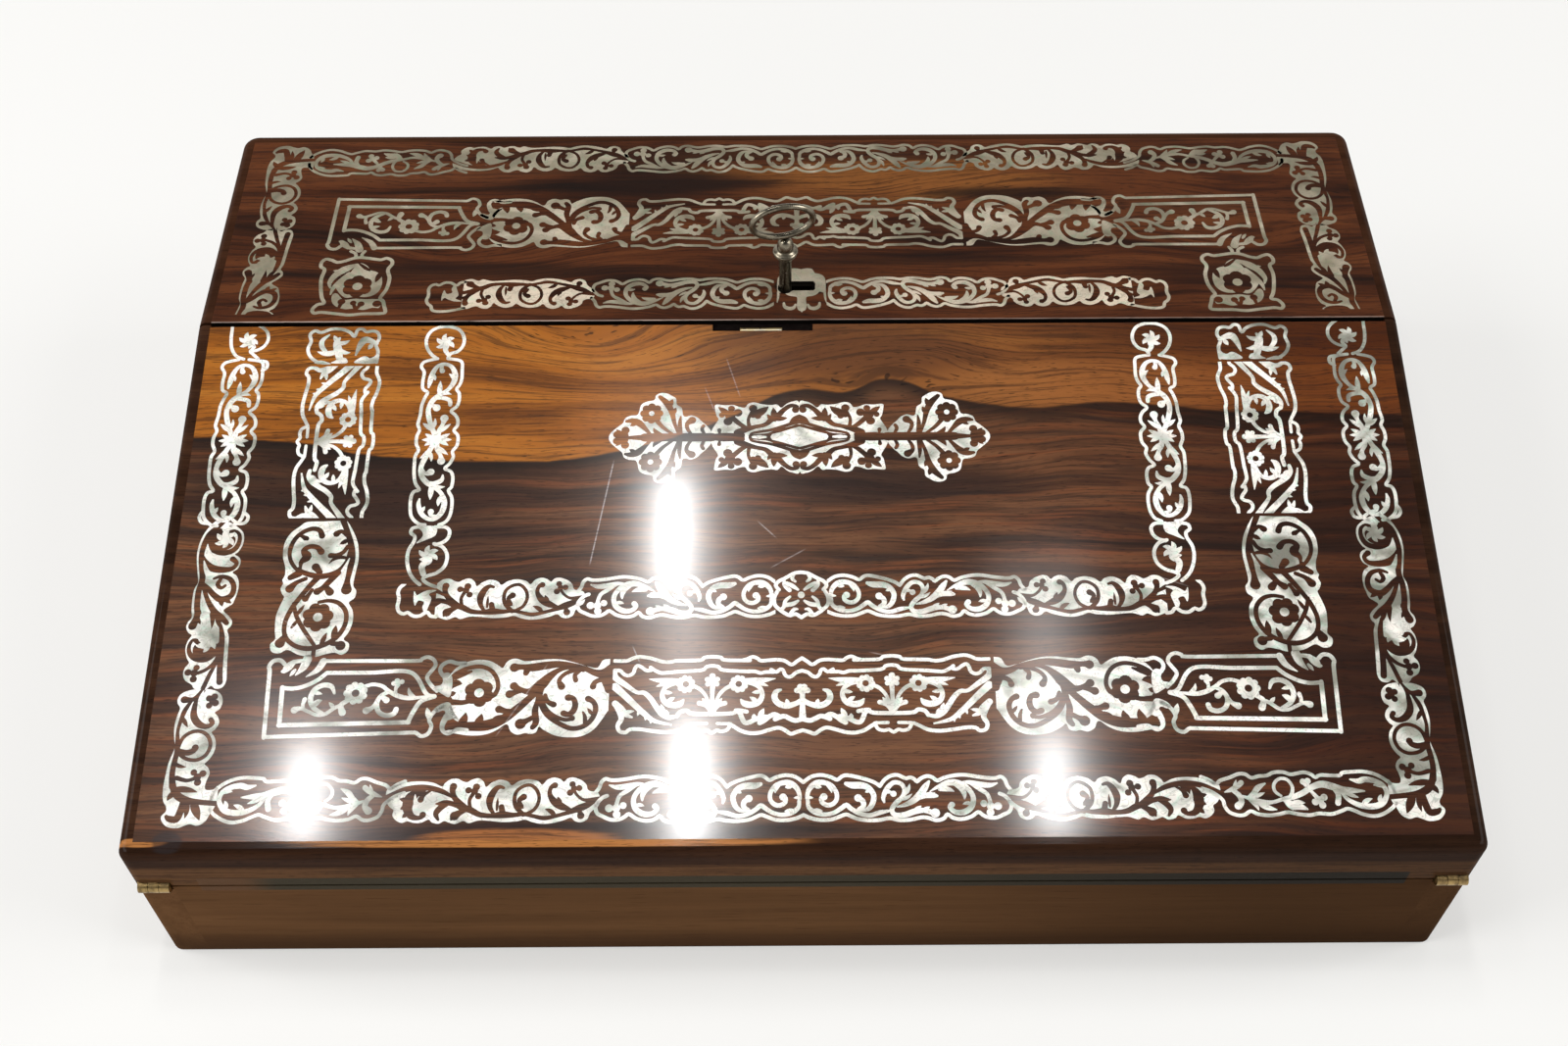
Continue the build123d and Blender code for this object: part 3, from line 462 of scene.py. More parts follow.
def mother_of_pearl(name, contrast, cast=(1.0, 1.0, 1.0)):
    """Polished shell: silver and grey clouds, a faint play of pink and green, and fine dark veins."""
    look = Look(name, {"Roughness": 0.26, "Coat Weight": 0.6, "Coat Roughness": 0.08})
    tone = add("Attribute", (), "Fac", look.tree, attribute_name="tone")
    clouds = noise(look.scaled((55, 85, 85)), 1.0, 2.5, 0.5, 1.0)
    body = ramp(
        tone * 0.36 + (clouds * contrast + (0.3 - 0.5 * contrast)),
        (0.28, (0.2, 0.2, 0.165)),
        (0.4, (0.36, 0.37, 0.31)),
        (0.52, (0.62, 0.63, 0.57)),
        (0.64, (0.9, 0.88, 0.8)),
        (0.8, (0.97, 0.96, 0.92)),
    )
    play = ramp(
        noise(look.scaled((130, 170, 170), (2, 5, 1)), 1.0, 2.0, 0.5, 2.5),
        (0.3, (0.74, 0.98, 0.9)),
        (0.44, (1.0, 1.0, 1.0)),
        (0.56, (1.0, 0.91, 0.93)),
        (0.7, (0.97, 1.0, 0.9)),
    )
    body = blend(1.0, blend(0.6, body, play, "MULTIPLY"), cast, "MULTIPLY")
    veins = noise(look.scaled((260, 330, 330), (1, 3, 2)), 1.0, 1.0, 0.5, 1.5)
    look.colour(body)
    look.tint((veins - 0.5).math("ABSOLUTE").spread(0.03, 0.008) * 0.4, (0.16, 0.15, 0.12))
    return look


def metal(name, bright, dull, roughness=0.35, scale=220.0, relief=0.3):
    """Old metal, with tarnish in soft patches."""
    look = Look(name, {"Metallic": 1.0})
    patches = noise(look.where, scale, 4.0, 0.6)
    look.colour(blend(patches.spread(0.35, 0.7), bright, dull))
    feed(look.surface, {"Roughness": patches.spread(0.35, 0.7, roughness * 0.7, roughness * 1.5)})
    look.relief(patches, 0.00005, relief)
    return look


def black_shade():
    """Black painted shade, for pieces set in gaps where shade falls."""
    look = Look("black_painted_shade", {"Roughness": 0.8, "Specular IOR Level": 0.0})
    look.colour(ramp(noise(look.where, 400.0), (0.3, (0.003, 0.002, 0.002)), (0.7, (0.008, 0.006, 0.005))))
    return look


def cloth(name, dark, light, sheen=0.35):
    """Short-piled cloth."""
    values = {"Roughness": 0.95, "Sheen Weight": sheen, "Specular IOR Level": 0.1, "Sheen Roughness": 0.5}
    look = Look(name, values)
    fibres = noise(look.where, 1800.0, 2.0, 0.7)
    wear_and_highlight = noise(look.where, 25.0, 3.0, 0.6)
    look.colour(blend(fibres.spread(0.3, 0.7), dark, light))
    look.tint(wear_and_highlight.spread(0.5, 0.75) * 0.25, light)
    look.relief(fibres, 0.0002, 0.6)
    return look


# Where the lining turns over the front, going forward
LINING_FRONT = (-134.75, -134.95)


def lining_cloth():
    """The linings' dark green cloth, faded to brown where it is turned over the front."""
    look = cloth("green_lining", (0.007, 0.012, 0.008), (0.02, 0.031, 0.022), 0.03)
    front = look.y.spread(*LINING_FRONT)
    look.tint(front, (0.042, 0.033, 0.019))
    look.tint(front * look.x.spread(-156, -168), (0.1, 0.048, 0.021))
    # Painted shade: the turned-over front darkens toward the right, away from the light
    look.tint(front * look.x.spread(-20, 150, 0.0, 0.75), (0.006, 0.004, 0.003))
    return look


def bottle_glass():
    """Clear pressed glass, a little green."""
    values = {"Base Color": (0.86, 0.95, 0.92), "Roughness": 0.04, "Transmission Weight": 1.0, "IOR": 1.5}
    look = Look("bottle_glass", values)
    look.relief(noise(look.where, 60.0, 2.0), 0.0003, 0.4)
    return look


PLAIN_WOOD = (0.092, 0.044, 0.019), (0.152, 0.074, 0.032)
DARK_WOOD = (0.022, 0.009, 0.005), (0.065, 0.026, 0.013)
MAHOGANY = (0.08, 0.03, 0.014), (0.2, 0.085, 0.038), 5.1, "X", 0.15, 0.5
looks = {
    "rosewood": rosewood("rosewood_of_the_case", *PLAIN_WOOD, 0.0, "X", 0.02),
    "dark_edging": rosewood("dark_cross_banding", *DARK_WOOD, 1.9, "X", 0.12),
    "inner_wood": rosewood("inner_mahogany", *MAHOGANY),
    "mother_of_pearl": mother_of_pearl("mother_of_pearl", 1.3),
    "green_lining": lining_cloth(),
    "baize": cloth("green_baize", (0.01, 0.035, 0.02), (0.04, 0.1, 0.06)),
    "brass": metal("old_brass", (0.6, 0.43, 0.18), (0.33, 0.23, 0.1), 0.35, 130.0),
    "dark_steel": metal("dark_steel", (0.25, 0.22, 0.165), (0.11, 0.095, 0.068), 0.3, 260.0, 0.05),
    "clear_glass": bottle_glass(),
}


def dress(name, look):
    """Gives a CAD node its material."""
    data = nodes[name].data
    data.materials.clear()
    data.materials.append(look.material)


SLOT_OF = {part["node"]: part["material_slot"] for part in frame["record"]["subparts"]}
for name in nodes:
    if SLOT_OF[name] in looks:
        dress(name, looks[SLOT_OF[name]])
dress("flap_edging", flap_edging())
weathered_brass = metal("weathered_brass", (0.42, 0.29, 0.12), (0.13, 0.09, 0.045), 0.4, 300.0)
for name in ("slope_hinge_case_leaves", "slope_hinge_flap_leaves", "slope_hinge_pins"):
    dress(name, weathered_brass)
for name, shift, way in (("left_wall", 2.3, "Y"), ("right_wall", 4.1, "Y"), ("front_wall", 0.0, "X")):
    wall = rosewood("rosewood_of_the_" + name, *PLAIN_WOOD, shift, way, 0.02)
    # Painted shade: darker at the foot, where shade falls by the floor, and toward the right, away from the
    # light
    wall.tint(wall.z.spread(17, 3, 0.0, 0.6), (0.034, 0.017, 0.01))
    wall.tint(wall.x.spread(0, 150, 0.0, 0.62), (0.03, 0.014, 0.006))
    dress(name, wall)
dress("lid_board", black_shade_at_the_keyhole(rosewood("bored_mahogany_of_the_lid", *MAHOGANY)))


# Drawing the inlay: shapes in millimetres, laid over one another, each of shell or of wood


def smooth_line(points, closed=False, spacing=0.5):
    """Points along a smooth curve through the given ones. A third number, a width, is carried along."""
    count = len(points)
    out = []
    for k in range(count if closed else count - 1):
        near = [k + j for j in (-1, 0, 1, 2)]
        p = [points[j % count if closed else max(0, min(count - 1, j))] for j in near]
        steps = max(1, round(math.dist(p[1][:2], p[2][:2]) / spacing))
        for s in range(steps):
            t = s / steps
            weights = (
                -0.5 * t**3 + t**2 - 0.5 * t,
                1.5 * t**3 - 2.5 * t**2 + 1,
                -1.5 * t**3 + 2 * t**2 + 0.5 * t,
                0.5 * t**3 - 0.5 * t**2,
            )
            out.append(tuple(sum(w * q[j] for w, q in zip(weights, p)) for j in range(len(p[0]))))
    return out if closed else [*out, tuple(points[-1])]


def hull(points):
    """The convex outline of a few points."""
    points = sorted(set(points))
    halves = []
    for ordered in (points, points[::-1]):
        half = []
        for p in ordered:
            while len(half) > 1 and (
                (half[-1][0] - half[-2][0]) * (p[1] - half[-2][1])
                - (half[-1][1] - half[-2][1]) * (p[0] - half[-2][0])
            ) <= 1e-9:
                half.pop()
            half.append(p)
        halves.append(half[:-1])
    return halves[0] + halves[1]


def disc(x, y, radius, sides, turn=0.0):
    """A round outline, or the middles of petals round a flower."""
    turns = [turn + 2 * math.pi * k / sides for k in range(sides)]
    return [(x + radius * math.cos(a), y + radius * math.sin(a)) for a in turns]


# The width of the thinnest line, in millimetres, and the width past which a line has round ends
THINNEST, ROUND_ENDED = 0.12, 0.5
LOBE_SIDES, END_SIDES = 14, 12


class Drawing:
    """A motif: outlines in the order that they are laid, each marked as shell or wood.

    It is drawn by a text of marks. Each is a word, a colon and its points, in millimetres:
    line W, loop W: the points of an open or a closed line of shell that is W wide
    shell, wood: the points of a stroke, each with its width
    fill, plate: the outline of a filled shape, smooth or with straight sides
    dots: the middles of round lobes, each with its radius
    leaf: its root, its tip, and its width with how far it bends
    flower: its middle, reach, petals, heart and turn
    claw: its middle, size and turn
    A mark is of shell, or of wood where that word comes first. A line that starts with # is a remark,
    and one that starts with a space goes on with the line above it.
    """

    def __init__(self, *texts):
        self.shapes = []
        for text in texts:
            self.draw(text)

    def draw(self, text, shift=0.0, side=1):
        """Lays the marks of a text, moved across by shift, and mirrored first where side is -1."""
        lines = [line for line in text.splitlines() if line and not line.startswith("#")]
        for mark in re.split(r"\n(?=[a-z])", "\n".join(lines)):
            words, numbers = mark.split(":")
            rows = [[float(number) for number in row.split()] for row in numbers.split(",")]
            points = [(shift + side * x, *rest) for x, *rest in rows]
            self.lay(words.removeprefix("wood "), "wood" not in words, points, rows[-1], side)
        return self

    def lay(self, kind, shell, points, last, side):
        """Lays one mark. last is its last row of numbers as written."""
        if kind in ("shell", "wood"):
            self.stroke(shell, points)
        elif kind == "fill":
            outline = smooth_line([(*p, 0) for p in points], True)
            self.shapes.append((shell, [p[:2] for p in outline]))
        elif kind == "plate":
            self.shapes.append((shell, points))
        elif kind == "dots":
            self.shapes += [(shell, disc(*dot, LOBE_SIDES)) for dot in points]
        elif kind == "leaf":
            width, bend = (*last, 0.0)[:2]
            self.leaf(shell, *points[:2], width, side * bend)
        elif kind == "flower":
            self.flower(shell, *points[0])
        elif kind == "claw":
            self.claw(*points[0])
        else:
            word, width = kind.split()
            self.stroke(True, [(*p, float(width)) for p in points], word == "loop")

    def stroke(self, shell, points, closed=False):
        """A line of changing width, with round ends."""
        line = smooth_line(points, closed)
        count = len(line)
        sides = []
        for k, (x, y, width) in enumerate(line):
            before = line[k - 1] if closed or k else line[k]
            after = line[(k + 1) % count] if closed or k < count - 1 else line[k]
            dx, dy = after[0] - before[0], after[1] - before[1]
            size = math.hypot(dx, dy) or 1.0
            half = max(width, THINNEST) / 2
            out_x, out_y = dy / size * half, dx / size * half
            sides.append(((x - out_x, y + out_y), (x + out_x, y - out_y)))
        for k in range(count if closed else count - 1):
            quad = hull([*sides[k], *sides[(k + 1) % count]])
            if len(quad) > 2:
                self.shapes.append((shell, quad))
        if not closed:
            for x, y, width in (line[0], line[-1]):
                if width > ROUND_ENDED:
                    self.shapes.append((shell, disc(x, y, width / 2, END_SIDES)))

    def leaf(self, shell, root, tip, width, bend=0.0):
        """A pointed leaf from root to tip, bent to one side."""
        (x0, y0), (x1, y1) = root, tip
        dx, dy = x1 - x0, y1 - y0
        points = []
        for along, share in ((0, 0.7), (0.35, 1.0), (0.7, 0.75), (1, 0.1)):
            side = 4 * bend * along * (1 - along)
            points.append((x0 + dx * along - dy * side, y0 + dy * along + dx * side, width * share))
        self.stroke(shell, points)

    def flower(self, shell, x, y, reach, petals, heart, turn=0.0):
        """A flower of round petals, with a heart of the other material."""
        size = reach * 0.62 * math.sin(math.pi / petals) * 1.45
        for px, py in disc(x, y, reach - size, int(petals), turn):
            self.shapes.append((shell, disc(px, py, size, LOBE_SIDES)))
        self.shapes.append((shell, disc(x, y, reach - size, LOBE_SIDES)))
        self.shapes.append((not shell, disc(x, y, heart, LOBE_SIDES)))

    def claw(self, x, y, size, turn):
        """A star-shaped leaf of shell with hooked points, as fills the heart of a scroll."""
        self.shapes.append((True, disc(x, y, 1.55 * size, LOBE_SIDES)))
        for angle, reach in ((20, 3.4), (80, 3.3), (140, 3.2), (205, 3.4), (265, 3.1), (320, 3.5)):
            a = math.radians(angle + turn)
            tip = (x + reach * size * math.cos(a), y + reach * size * math.sin(a))
            root = (x + 0.6 * size * math.cos(a - 0.6), y + 0.6 * size * math.sin(a - 0.6))
            self.leaf(True, root, tip, 1.7 * size, -0.14)


# The motifs as texts of marks, each about the point that it is placed by

# The long scroll beside the middle of an outer band: shell leaves inside a wavy line of shell.
OUTER_SCROLL = """
line 1.15: 0 4.6, 2.4 6.3, 5.2 6.8, 8 6.2, 10 5.3, 11.4 6.3, 12.9 6.7, 16 6.1, 19.4 5.1, 21.4 4.2, 22.6 3.3
line 1.15: 22.6 3.3, 24 5.2, 25.8 6.4, 27.8 6.7, 29.4 6, 30.4 5.6, 31.8 5.9, 33 5.2, 33.6 4.6, 34.8 5.6,
 36.6 6.3, 38.2 5.9, 39.6 4.9, 41.8 5.8, 45 6.5, 48 6.6, 51.6 6, 54.8 5.6, 57 5.6, 58.4 6, 59.6 5, 60.2 3.2,
 61.4 1.6
line 1.15: 0 -5.4, 2 -6.3, 4.8 -6.9, 8 -6.8, 10.4 -6, 12.4 -5.3, 14 -5.9, 16 -6.7, 19.2 -7.1, 22.4 -7,
 25.2 -6.5, 28 -7.1, 31.2 -7, 34.6 -6.3, 36.6 -6.5, 38.8 -7.2, 41 -6.7, 42.2 -5.4, 43.6 -6.4, 46 -6.9,
 49 -6.2, 51.2 -4.8, 52.4 -5.6, 54 -6.4, 56.4 -6.5, 58.8 -5.5, 60.6 -4.4, 61 -2.2, 59.4 0, 57.8 0.8
# The ring with its curl
shell: 1.4 -1.6 1, 1.1 0.2 1.2, 1.8 2.6 1.5, 3.6 4.2 1.8, 5.8 4.5 1.6, 8.2 3.6 1.4, 9.7 1.4 1.3,
 9.7 -0.8 1.3, 8.4 -2.2 1.4, 6.8 -2.4 1.4, 5.4 -1.5 1.4, 5.3 -0.3 1.4
dots: 6 0.1 1.1
leaf: 3.4 3.6, 5.4 3, 1.6
leaf: 7.2 3.6, 8.3 1.3, 1.3 0.15
leaf: 1 0, 2.9 -0.2, 1
leaf: 3 -4, 5.6 -4.2, 1.4
shell: 1.2 -1.2 1, 1.6 -3.2 1.3, 3.6 -4.7 1.5, 6.4 -5.3 1.3, 9.2 -4.6 1.3, 11.6 -3 1.4, 12.6 -2.4 1.4,
 14 -3.6 1.4, 16.4 -5 1.4, 19.4 -5.6 1.3, 22.6 -4.7 1.4, 25.6 -4.2 0.6
# The open C scroll
shell: 12.6 4.1 1.2, 14.4 3.6 2, 17.4 3.5 2, 19.4 2.6 1.7, 20.7 0.4 1.6, 20.2 -2.2 1.6, 18.8 -3.8 1.3,
 16.6 -4.2 0.3
leaf: 19.8 2.2, 18.2 1.4, 1.2
shell: 16.2 -0.5 1.6, 17.4 -1.2 1.6, 17.6 -2.8 1.5, 16.2 -3.8 1.2
dots: 16.1 -0.3 1.15
# The crook, and the leaves at its foot
shell: 23.8 -1.9 0.5, 23.5 -0.2 1.3, 24.6 2.4 1.5, 26.6 4.3 1.4, 28.8 4 1.3, 29.8 2.2 1.3, 29.2 0 1.4,
 27.2 -1.9 1.5, 25.9 -3.9 1.4, 26.8 -5.5 1.5, 29.6 -5.5 1.7, 32.6 -4.5 1.8, 35.4 -4.2 1.5, 38.2 -5 1.6
dots: 26.5 0.9 0.95, 38.6 -5 1.4
leaf: 24.4 1.6, 26.2 1.4, 1.2
leaf: 29.6 0.6, 31.4 4, 1.3 -0.1
leaf: 28.6 -0.8, 32 0.9, 1.1 -0.1
leaf: 32.4 -4.4, 34.6 -2.8, 1.3
leaf: 35 -4.2, 37.1 -3.1, 1.2
# The great slanting leaf
shell: 27.4 -3.1 0.4, 30 -2.4 1.3, 32.6 -1 1.9, 34.6 1 2.1, 36 3 1.9, 37.1 4.6 0.8
shell: 32.8 -1 1, 35.6 0.2 1.5, 38.4 0.3 1.5, 39.7 0.1 0.5
leaf: 35.4 0.6, 38.8 1.2, 1
# The broad scroll
shell: 37.2 1.5 0.3, 40 3.1 1.2, 43.4 4.3 1.9, 46.6 3.7 1.9, 49 1.8 1.5, 50 -0.6 1.5, 49.3 -3.2 1.7,
 47 -4.8 1.8, 44.4 -4.7 1.5, 42.9 -3.2 1.3, 43.4 -2.3 1
dots: 43.6 -2.5 0.9
leaf: 40.2 2.2, 44.5 1.5, 1.6 0.1
shell: 45 3.6 1.2, 46.6 2.4 1.6, 47.4 0.8 1.4, 47.4 -0.9 0.4
leaf: 49.2 -2.2, 46.8 -2.4, 1.2 -0.1
shell: 46.6 4.4 0.3, 49 4.3 1.3, 52.4 3.6 1.7, 55.2 3.4 1.4, 57.4 4.1 0.4
shell: 49.4 4 1, 52 2.2 1.3, 54 0.8 1.2, 54.8 -1.2 1.2, 54.9 -3 1.4
dots: 53 -2.2 1.05, 57.1 -3 1.2, 54.8 -4.9 1.15, 55 -3 1.2
"""

# The stretch of an outer band drawn in wood on shell: clovers, a ring and curled leaves.
OUTER_KNOT = """
fill: 0.2 -2.2, -0.2 0, 0.6 1.8, 2.6 2.2, 3.6 2.8, 4 4.2, 5.2 5.4, 6.4 6, 8 6.5, 9.6 6.2, 10.7 5.1,
 11.6 5.9, 13.6 6.5, 15.6 5.8, 17 4.3, 18.4 5.4, 21.2 6, 24 5.4, 26 4.1, 27.2 5.3, 29.6 5.9, 32 5, 33.6 3.7,
 34.4 5.3, 36 6.4, 38 5.9, 39.2 5.2, 40.6 5.5, 42.2 6.3, 44.2 6.1, 45.8 4.9, 46.6 3.9, 49 5, 52 5.5, 56 5.4,
 60 4.6, 62.6 3.2, 62.8 0, 61.6 -2.2, 60.3 -3.2, 60.5 -4.8, 59.4 -6.3, 57.6 -7.1, 56 -6.6, 54.2 -7.1,
 52 -7.1, 49.8 -6.1, 48.8 -7, 46.8 -7.4, 45.2 -6.6, 44 -7, 42 -7.5, 39.6 -6.6, 38 -7.3, 35.2 -6.5, 32 -6.6,
 28 -7, 24 -6.8, 21.6 -6.3, 19.6 -7, 16.8 -7.6, 13.6 -7.4, 10.4 -6.6, 8.2 -5.8, 7 -6.8, 5.2 -7.2, 3.4 -6.3,
 2.6 -4.4, 1.2 -3
# Clover at the left, with its stem and the drop below
wood dots: 8.1 4.4 0.95, 6.1 3.2 0.95, 8.7 1.8 1, 7.6 3.1 0.95
wood: 7.6 2.6 1, 6.6 1 0.9, 4.6 -0.4 1, 1.4 -0.4 1.6, -0.6 0 1.4
wood: 1.4 -0.6 1.4, 3.6 -2 2, 6 -3 2.2, 9 -4.2 1.4, 12.4 -5.2 1.2, 16 -5.9 1.4, 19.4 -5.2 1.2, 22 -4.6 1.3,
 25 -4.9 1.5, 28.4 -4.8 2.2, 31.6 -5.1 1.5, 35 -4.7 1.7, 37.8 -3.3 2, 40.2 -2.7 1.8, 42.2 -1.7 1.6,
 45 -1 1.6, 46.8 -1.3 1.3, 48.2 -1.4 0.3
wood: 6 -3 1.6, 5.6 -4.2 1.4, 5.3 -5.2 2.2
# First curled leaf
wood: 8.4 -3.3 0.9, 10.8 -2.5 2.2, 13.2 -1 2.2, 14.7 1.4 1.4, 14.4 3.4 1.3, 13.3 4.1 1.9
wood leaf: 11.4 -1.8, 12.3 0.6, 1.5
shell: 4.8 -1.2 0.2, 7.6 -1.6 1.1, 10 -0.8 0.9, 12 0.8 0.3
wood leaf: 13 -5, 15.9 -3.1, 1.5 0.1
# The ring with its curl
wood: 21.6 -4.8 1.2, 19 -3.2 1.1, 17.8 -0.6 1.1, 18.2 2 1.1, 20 4 1.1, 22.2 4 1.1, 24.4 2.4 1.1, 25 0 1.2,
 24.4 -2.4 1.4, 22.2 -4.8 1.4
wood: 24.4 -1.8 1.6, 22.6 -2.6 1.2, 23.6 -0.6 1.4, 22.3 0.6 2
# Second curled leaf
wood: 30.6 -4.8 0.9, 32 -2.6 1.5, 32.2 0 2.2, 31 2.6 1.9, 29.6 3.7 1.3, 28.4 3.4 0.9
wood: 28.2 -4.6 1.9, 28.7 -2.4 1.7
wood leaf: 30 -3.4, 29.9 0.5, 0.9
# Second clover
wood dots: 36.4 3.7 1.1, 38.7 2.7 1, 35.7 0.9 1, 36.9 2.4 1.1
wood: 37.3 1.6 1.2, 38.2 -0.4 1.1, 37.8 -3 1.2
# Third leaf, with a round end
wood: 38 -3.4 1.4, 40.8 -1.4 1.8, 42.6 0.4 1.7, 43.4 2.4 1.7, 43.2 3.9 2.2
# The stem that runs on, and the drop under it
wood: 43.2 0.6 0.8, 46 2.2 1.5, 49.4 3.3 1.7, 53 3.7 1.7, 57 3.1 1.8, 60.4 1.7 1.8, 63.6 0 1.8
wood: 39 -3.2 1.2, 41 -4.2 1.9, 42.3 -5.1 2.8
wood leaf: 42.4 -5, 43.4 -6.5, 1.6
wood: 44.4 -1.2 1.4, 46.6 -2.6 1.9, 47.8 -4.4 1.7, 47 -6.2 0.8
# The broad leaf at the right
wood: 51.2 3 0.9, 54.4 1.6 2.8, 56 -0.4 3.4, 56.2 -3 2.8, 54.8 -5.2 2, 52.6 -5.6 1.4, 51.6 -4.7 2
wood leaf: 56 -0.4, 58.8 0.2, 1.7
wood leaf: 56.2 -2, 58.4 -2.9, 1.7
wood leaf: 56 -4, 57.6 -5.6, 1.5
wood: 49.8 2.6 0.6, 51.8 1.4 1.3, 52.6 -0.1 1.9
leaf: 54.2 -1.8, 54.3 1.6, 0.9
"""

# The stretch of an outer band that ends in a wide loop: shell leaves on a stem.
OUTER_FLOWER = """
line 1.1: -0.4 6.6, 2 5.5, 3.8 4.3, 5.2 5.4, 8 6.3, 10.8 7.4, 12.8 7.3, 14.5 6.2, 16.8 6.7, 19.2 6.9,
 21.2 7.8, 24 7.9, 26.4 7.2, 30 7.8, 32.2 7.2, 33.5 6.2, 35 6.9, 40.4 6.7, 41.6 7.6, 44.8 7.9, 48 7.9,
 51.2 7.1, 54 5.4, 55.8 3.4, 56.2 1.6
line 1.1: -0.4 3, 2.4 1.9, 5.2 -0.4, 5.7 -2.4, 6.8 -4.2, 9.2 -5.2, 11.2 -5.1, 13.2 -4, 15.2 -4.9, 18.4 -5.3,
 21.2 -5, 24 -4.4, 27.2 -5, 30.4 -5.3, 33.2 -4.8, 36.8 -5, 40 -4, 41.7 -3.4, 43.6 -4, 46 -5.1, 49.2 -5.7,
 52 -5, 54.8 -3.3, 56.2 -1.7
shell: 6 1.8 0.3, 8 2.5 1.3, 10 3.6 1.6, 11.3 4.7 1.6
shell: 8.6 2.4 1.3, 10.3 0.8 1.6, 10.8 -1.1 1.7, 9.7 -2.4 2.3
leaf: 9 2.4, 9.9 5.6, 1.2
shell: 11.2 0.6 0.7, 14 -0.4 1.4, 17 -1.3 1.6, 20 -1.3 1.1, 23 -0.4 1.2, 26 0.2 1.6, 29 1.4 1.7, 32 3.2 1.8,
 35 4.1 2.1, 38 3.4 2.2, 41 2.3 2.2, 44 2.1 1.7, 47.6 1.9 0.4
shell: 13 0.2 1, 14.6 1.4 1.5, 16.2 3.2 1.7, 18.5 4.5 0.4
leaf: 14.4 0.2, 17.9 1.6, 1.3
leaf: 13.2 -0.4, 15.6 -3.8, 1.5 0.1
leaf: 15.6 -1.2, 21 -3.6, 1.8 -0.08
shell: 22.6 0.6 0.8, 21 2 1, 20.9 4.1 1, 22.6 5.8 1, 24.9 5.6 1, 26.2 3.6 1, 26 1.6 1.1, 25.2 0.2 1.2
shell: 23.6 -0.8 1.2, 25.4 -2.2 2.6, 27.6 -2.6 2.2, 30.1 -3.6 0.4
leaf: 25 -1.8, 25.6 -3.8, 1.6
leaf: 26.4 -1.2, 29.4 -1.6, 1.4
shell: 30.6 2.2 1.2, 30.6 4.2 1.2
dots: 29.6 4.9 0.95, 31 5.1 0.95, 30.4 4.3 1
shell: 31.2 2.6 0.8, 32.4 1 1.2, 33.8 -0.8 1.4
dots: 32.5 -1.3 1.05, 35.2 0.1 1.05, 34.5 -2.3 1.05, 33.9 -0.8 1.2
shell: 38.2 3.4 1.6, 39.5 1 1.6, 39.1 -1.7 1.7
shell: 40.4 2.2 1, 42 -0.4 1.2, 45.2 -2.3 1.6, 48.8 -2.8 1.8, 52 -1.9 1.8, 53.8 0.8 1.4, 53.2 3.5 1.4,
 50.8 5 1.6, 48 5.5 1.8, 46 5 1.6, 43.4 5.6 0.4
leaf: 46.4 -2.2, 49.4 -0.4, 1.5 0.1
leaf: 51.6 -1.6, 52.2 0.9, 1.4 0.1
leaf: 53 3.4, 50.2 3.7, 1.4 -0.1
leaf: 42 1.2, 45.4 0, 1.2
"""

# The wavy lines of the side bands' tall panel.
PALMETTE_LINES = """
line 1.1: -1.4 30.7, -5 30.1, -6.2 29, -6.4 26.4, -6.5 23, -6 20.8, -5.1 19, -6 17.6, -6.2 15, -5.6 12.6,
 -3.9 10.9, -5.4 9.3, -6.3 7.5, -6.3 5.5, -5.3 3.7, -6.6 2, -6.9 0.3, -6.6 -2, -5.4 -4, -5.8 -6, -4.8 -8.4,
 -3.4 -10.2, -5.4 -11.3, -6.2 -13.6, -6 -16.8, -5.1 -18.1, -6.3 -20.5, -6.6 -23.5, -6.2 -27, -5 -29.2,
 -3 -30.2
line 1.1: 2 30.7, 5 30, 6.6 29.2, 7.1 27.6, 6 25.5, 6.2 22, 5.9 19.2, 4.3 17.9, 5 16, 5.8 13, 6 9.5, 6.5 6,
 5.8 4, 6.5 1.6, 6.5 -1, 5.6 -3.4, 6.4 -5.5, 6.5 -8, 6.3 -12, 5.6 -15.4, 4.2 -17.8, 5.8 -18.4, 6.6 -20.5,
 6.5 -24.5, 5.8 -27.5, 3.5 -29.8, 1.4 -30.2
"""

# The ears at the corners of that panel, which only the outer bands have.
PALMETTE_EARS = """
line 1.1: -6.2 26.5, -7.6 27.6, -7.4 29.6, -5.4 30.2
line 1.1: -6.4 -25.4, -8 -27, -7.4 -29, -5.2 -29.4, -3.4 -28.2
line 1.1: 6.5 -25, 7.4 -27, 6.4 -28.9, 4 -29.4
"""

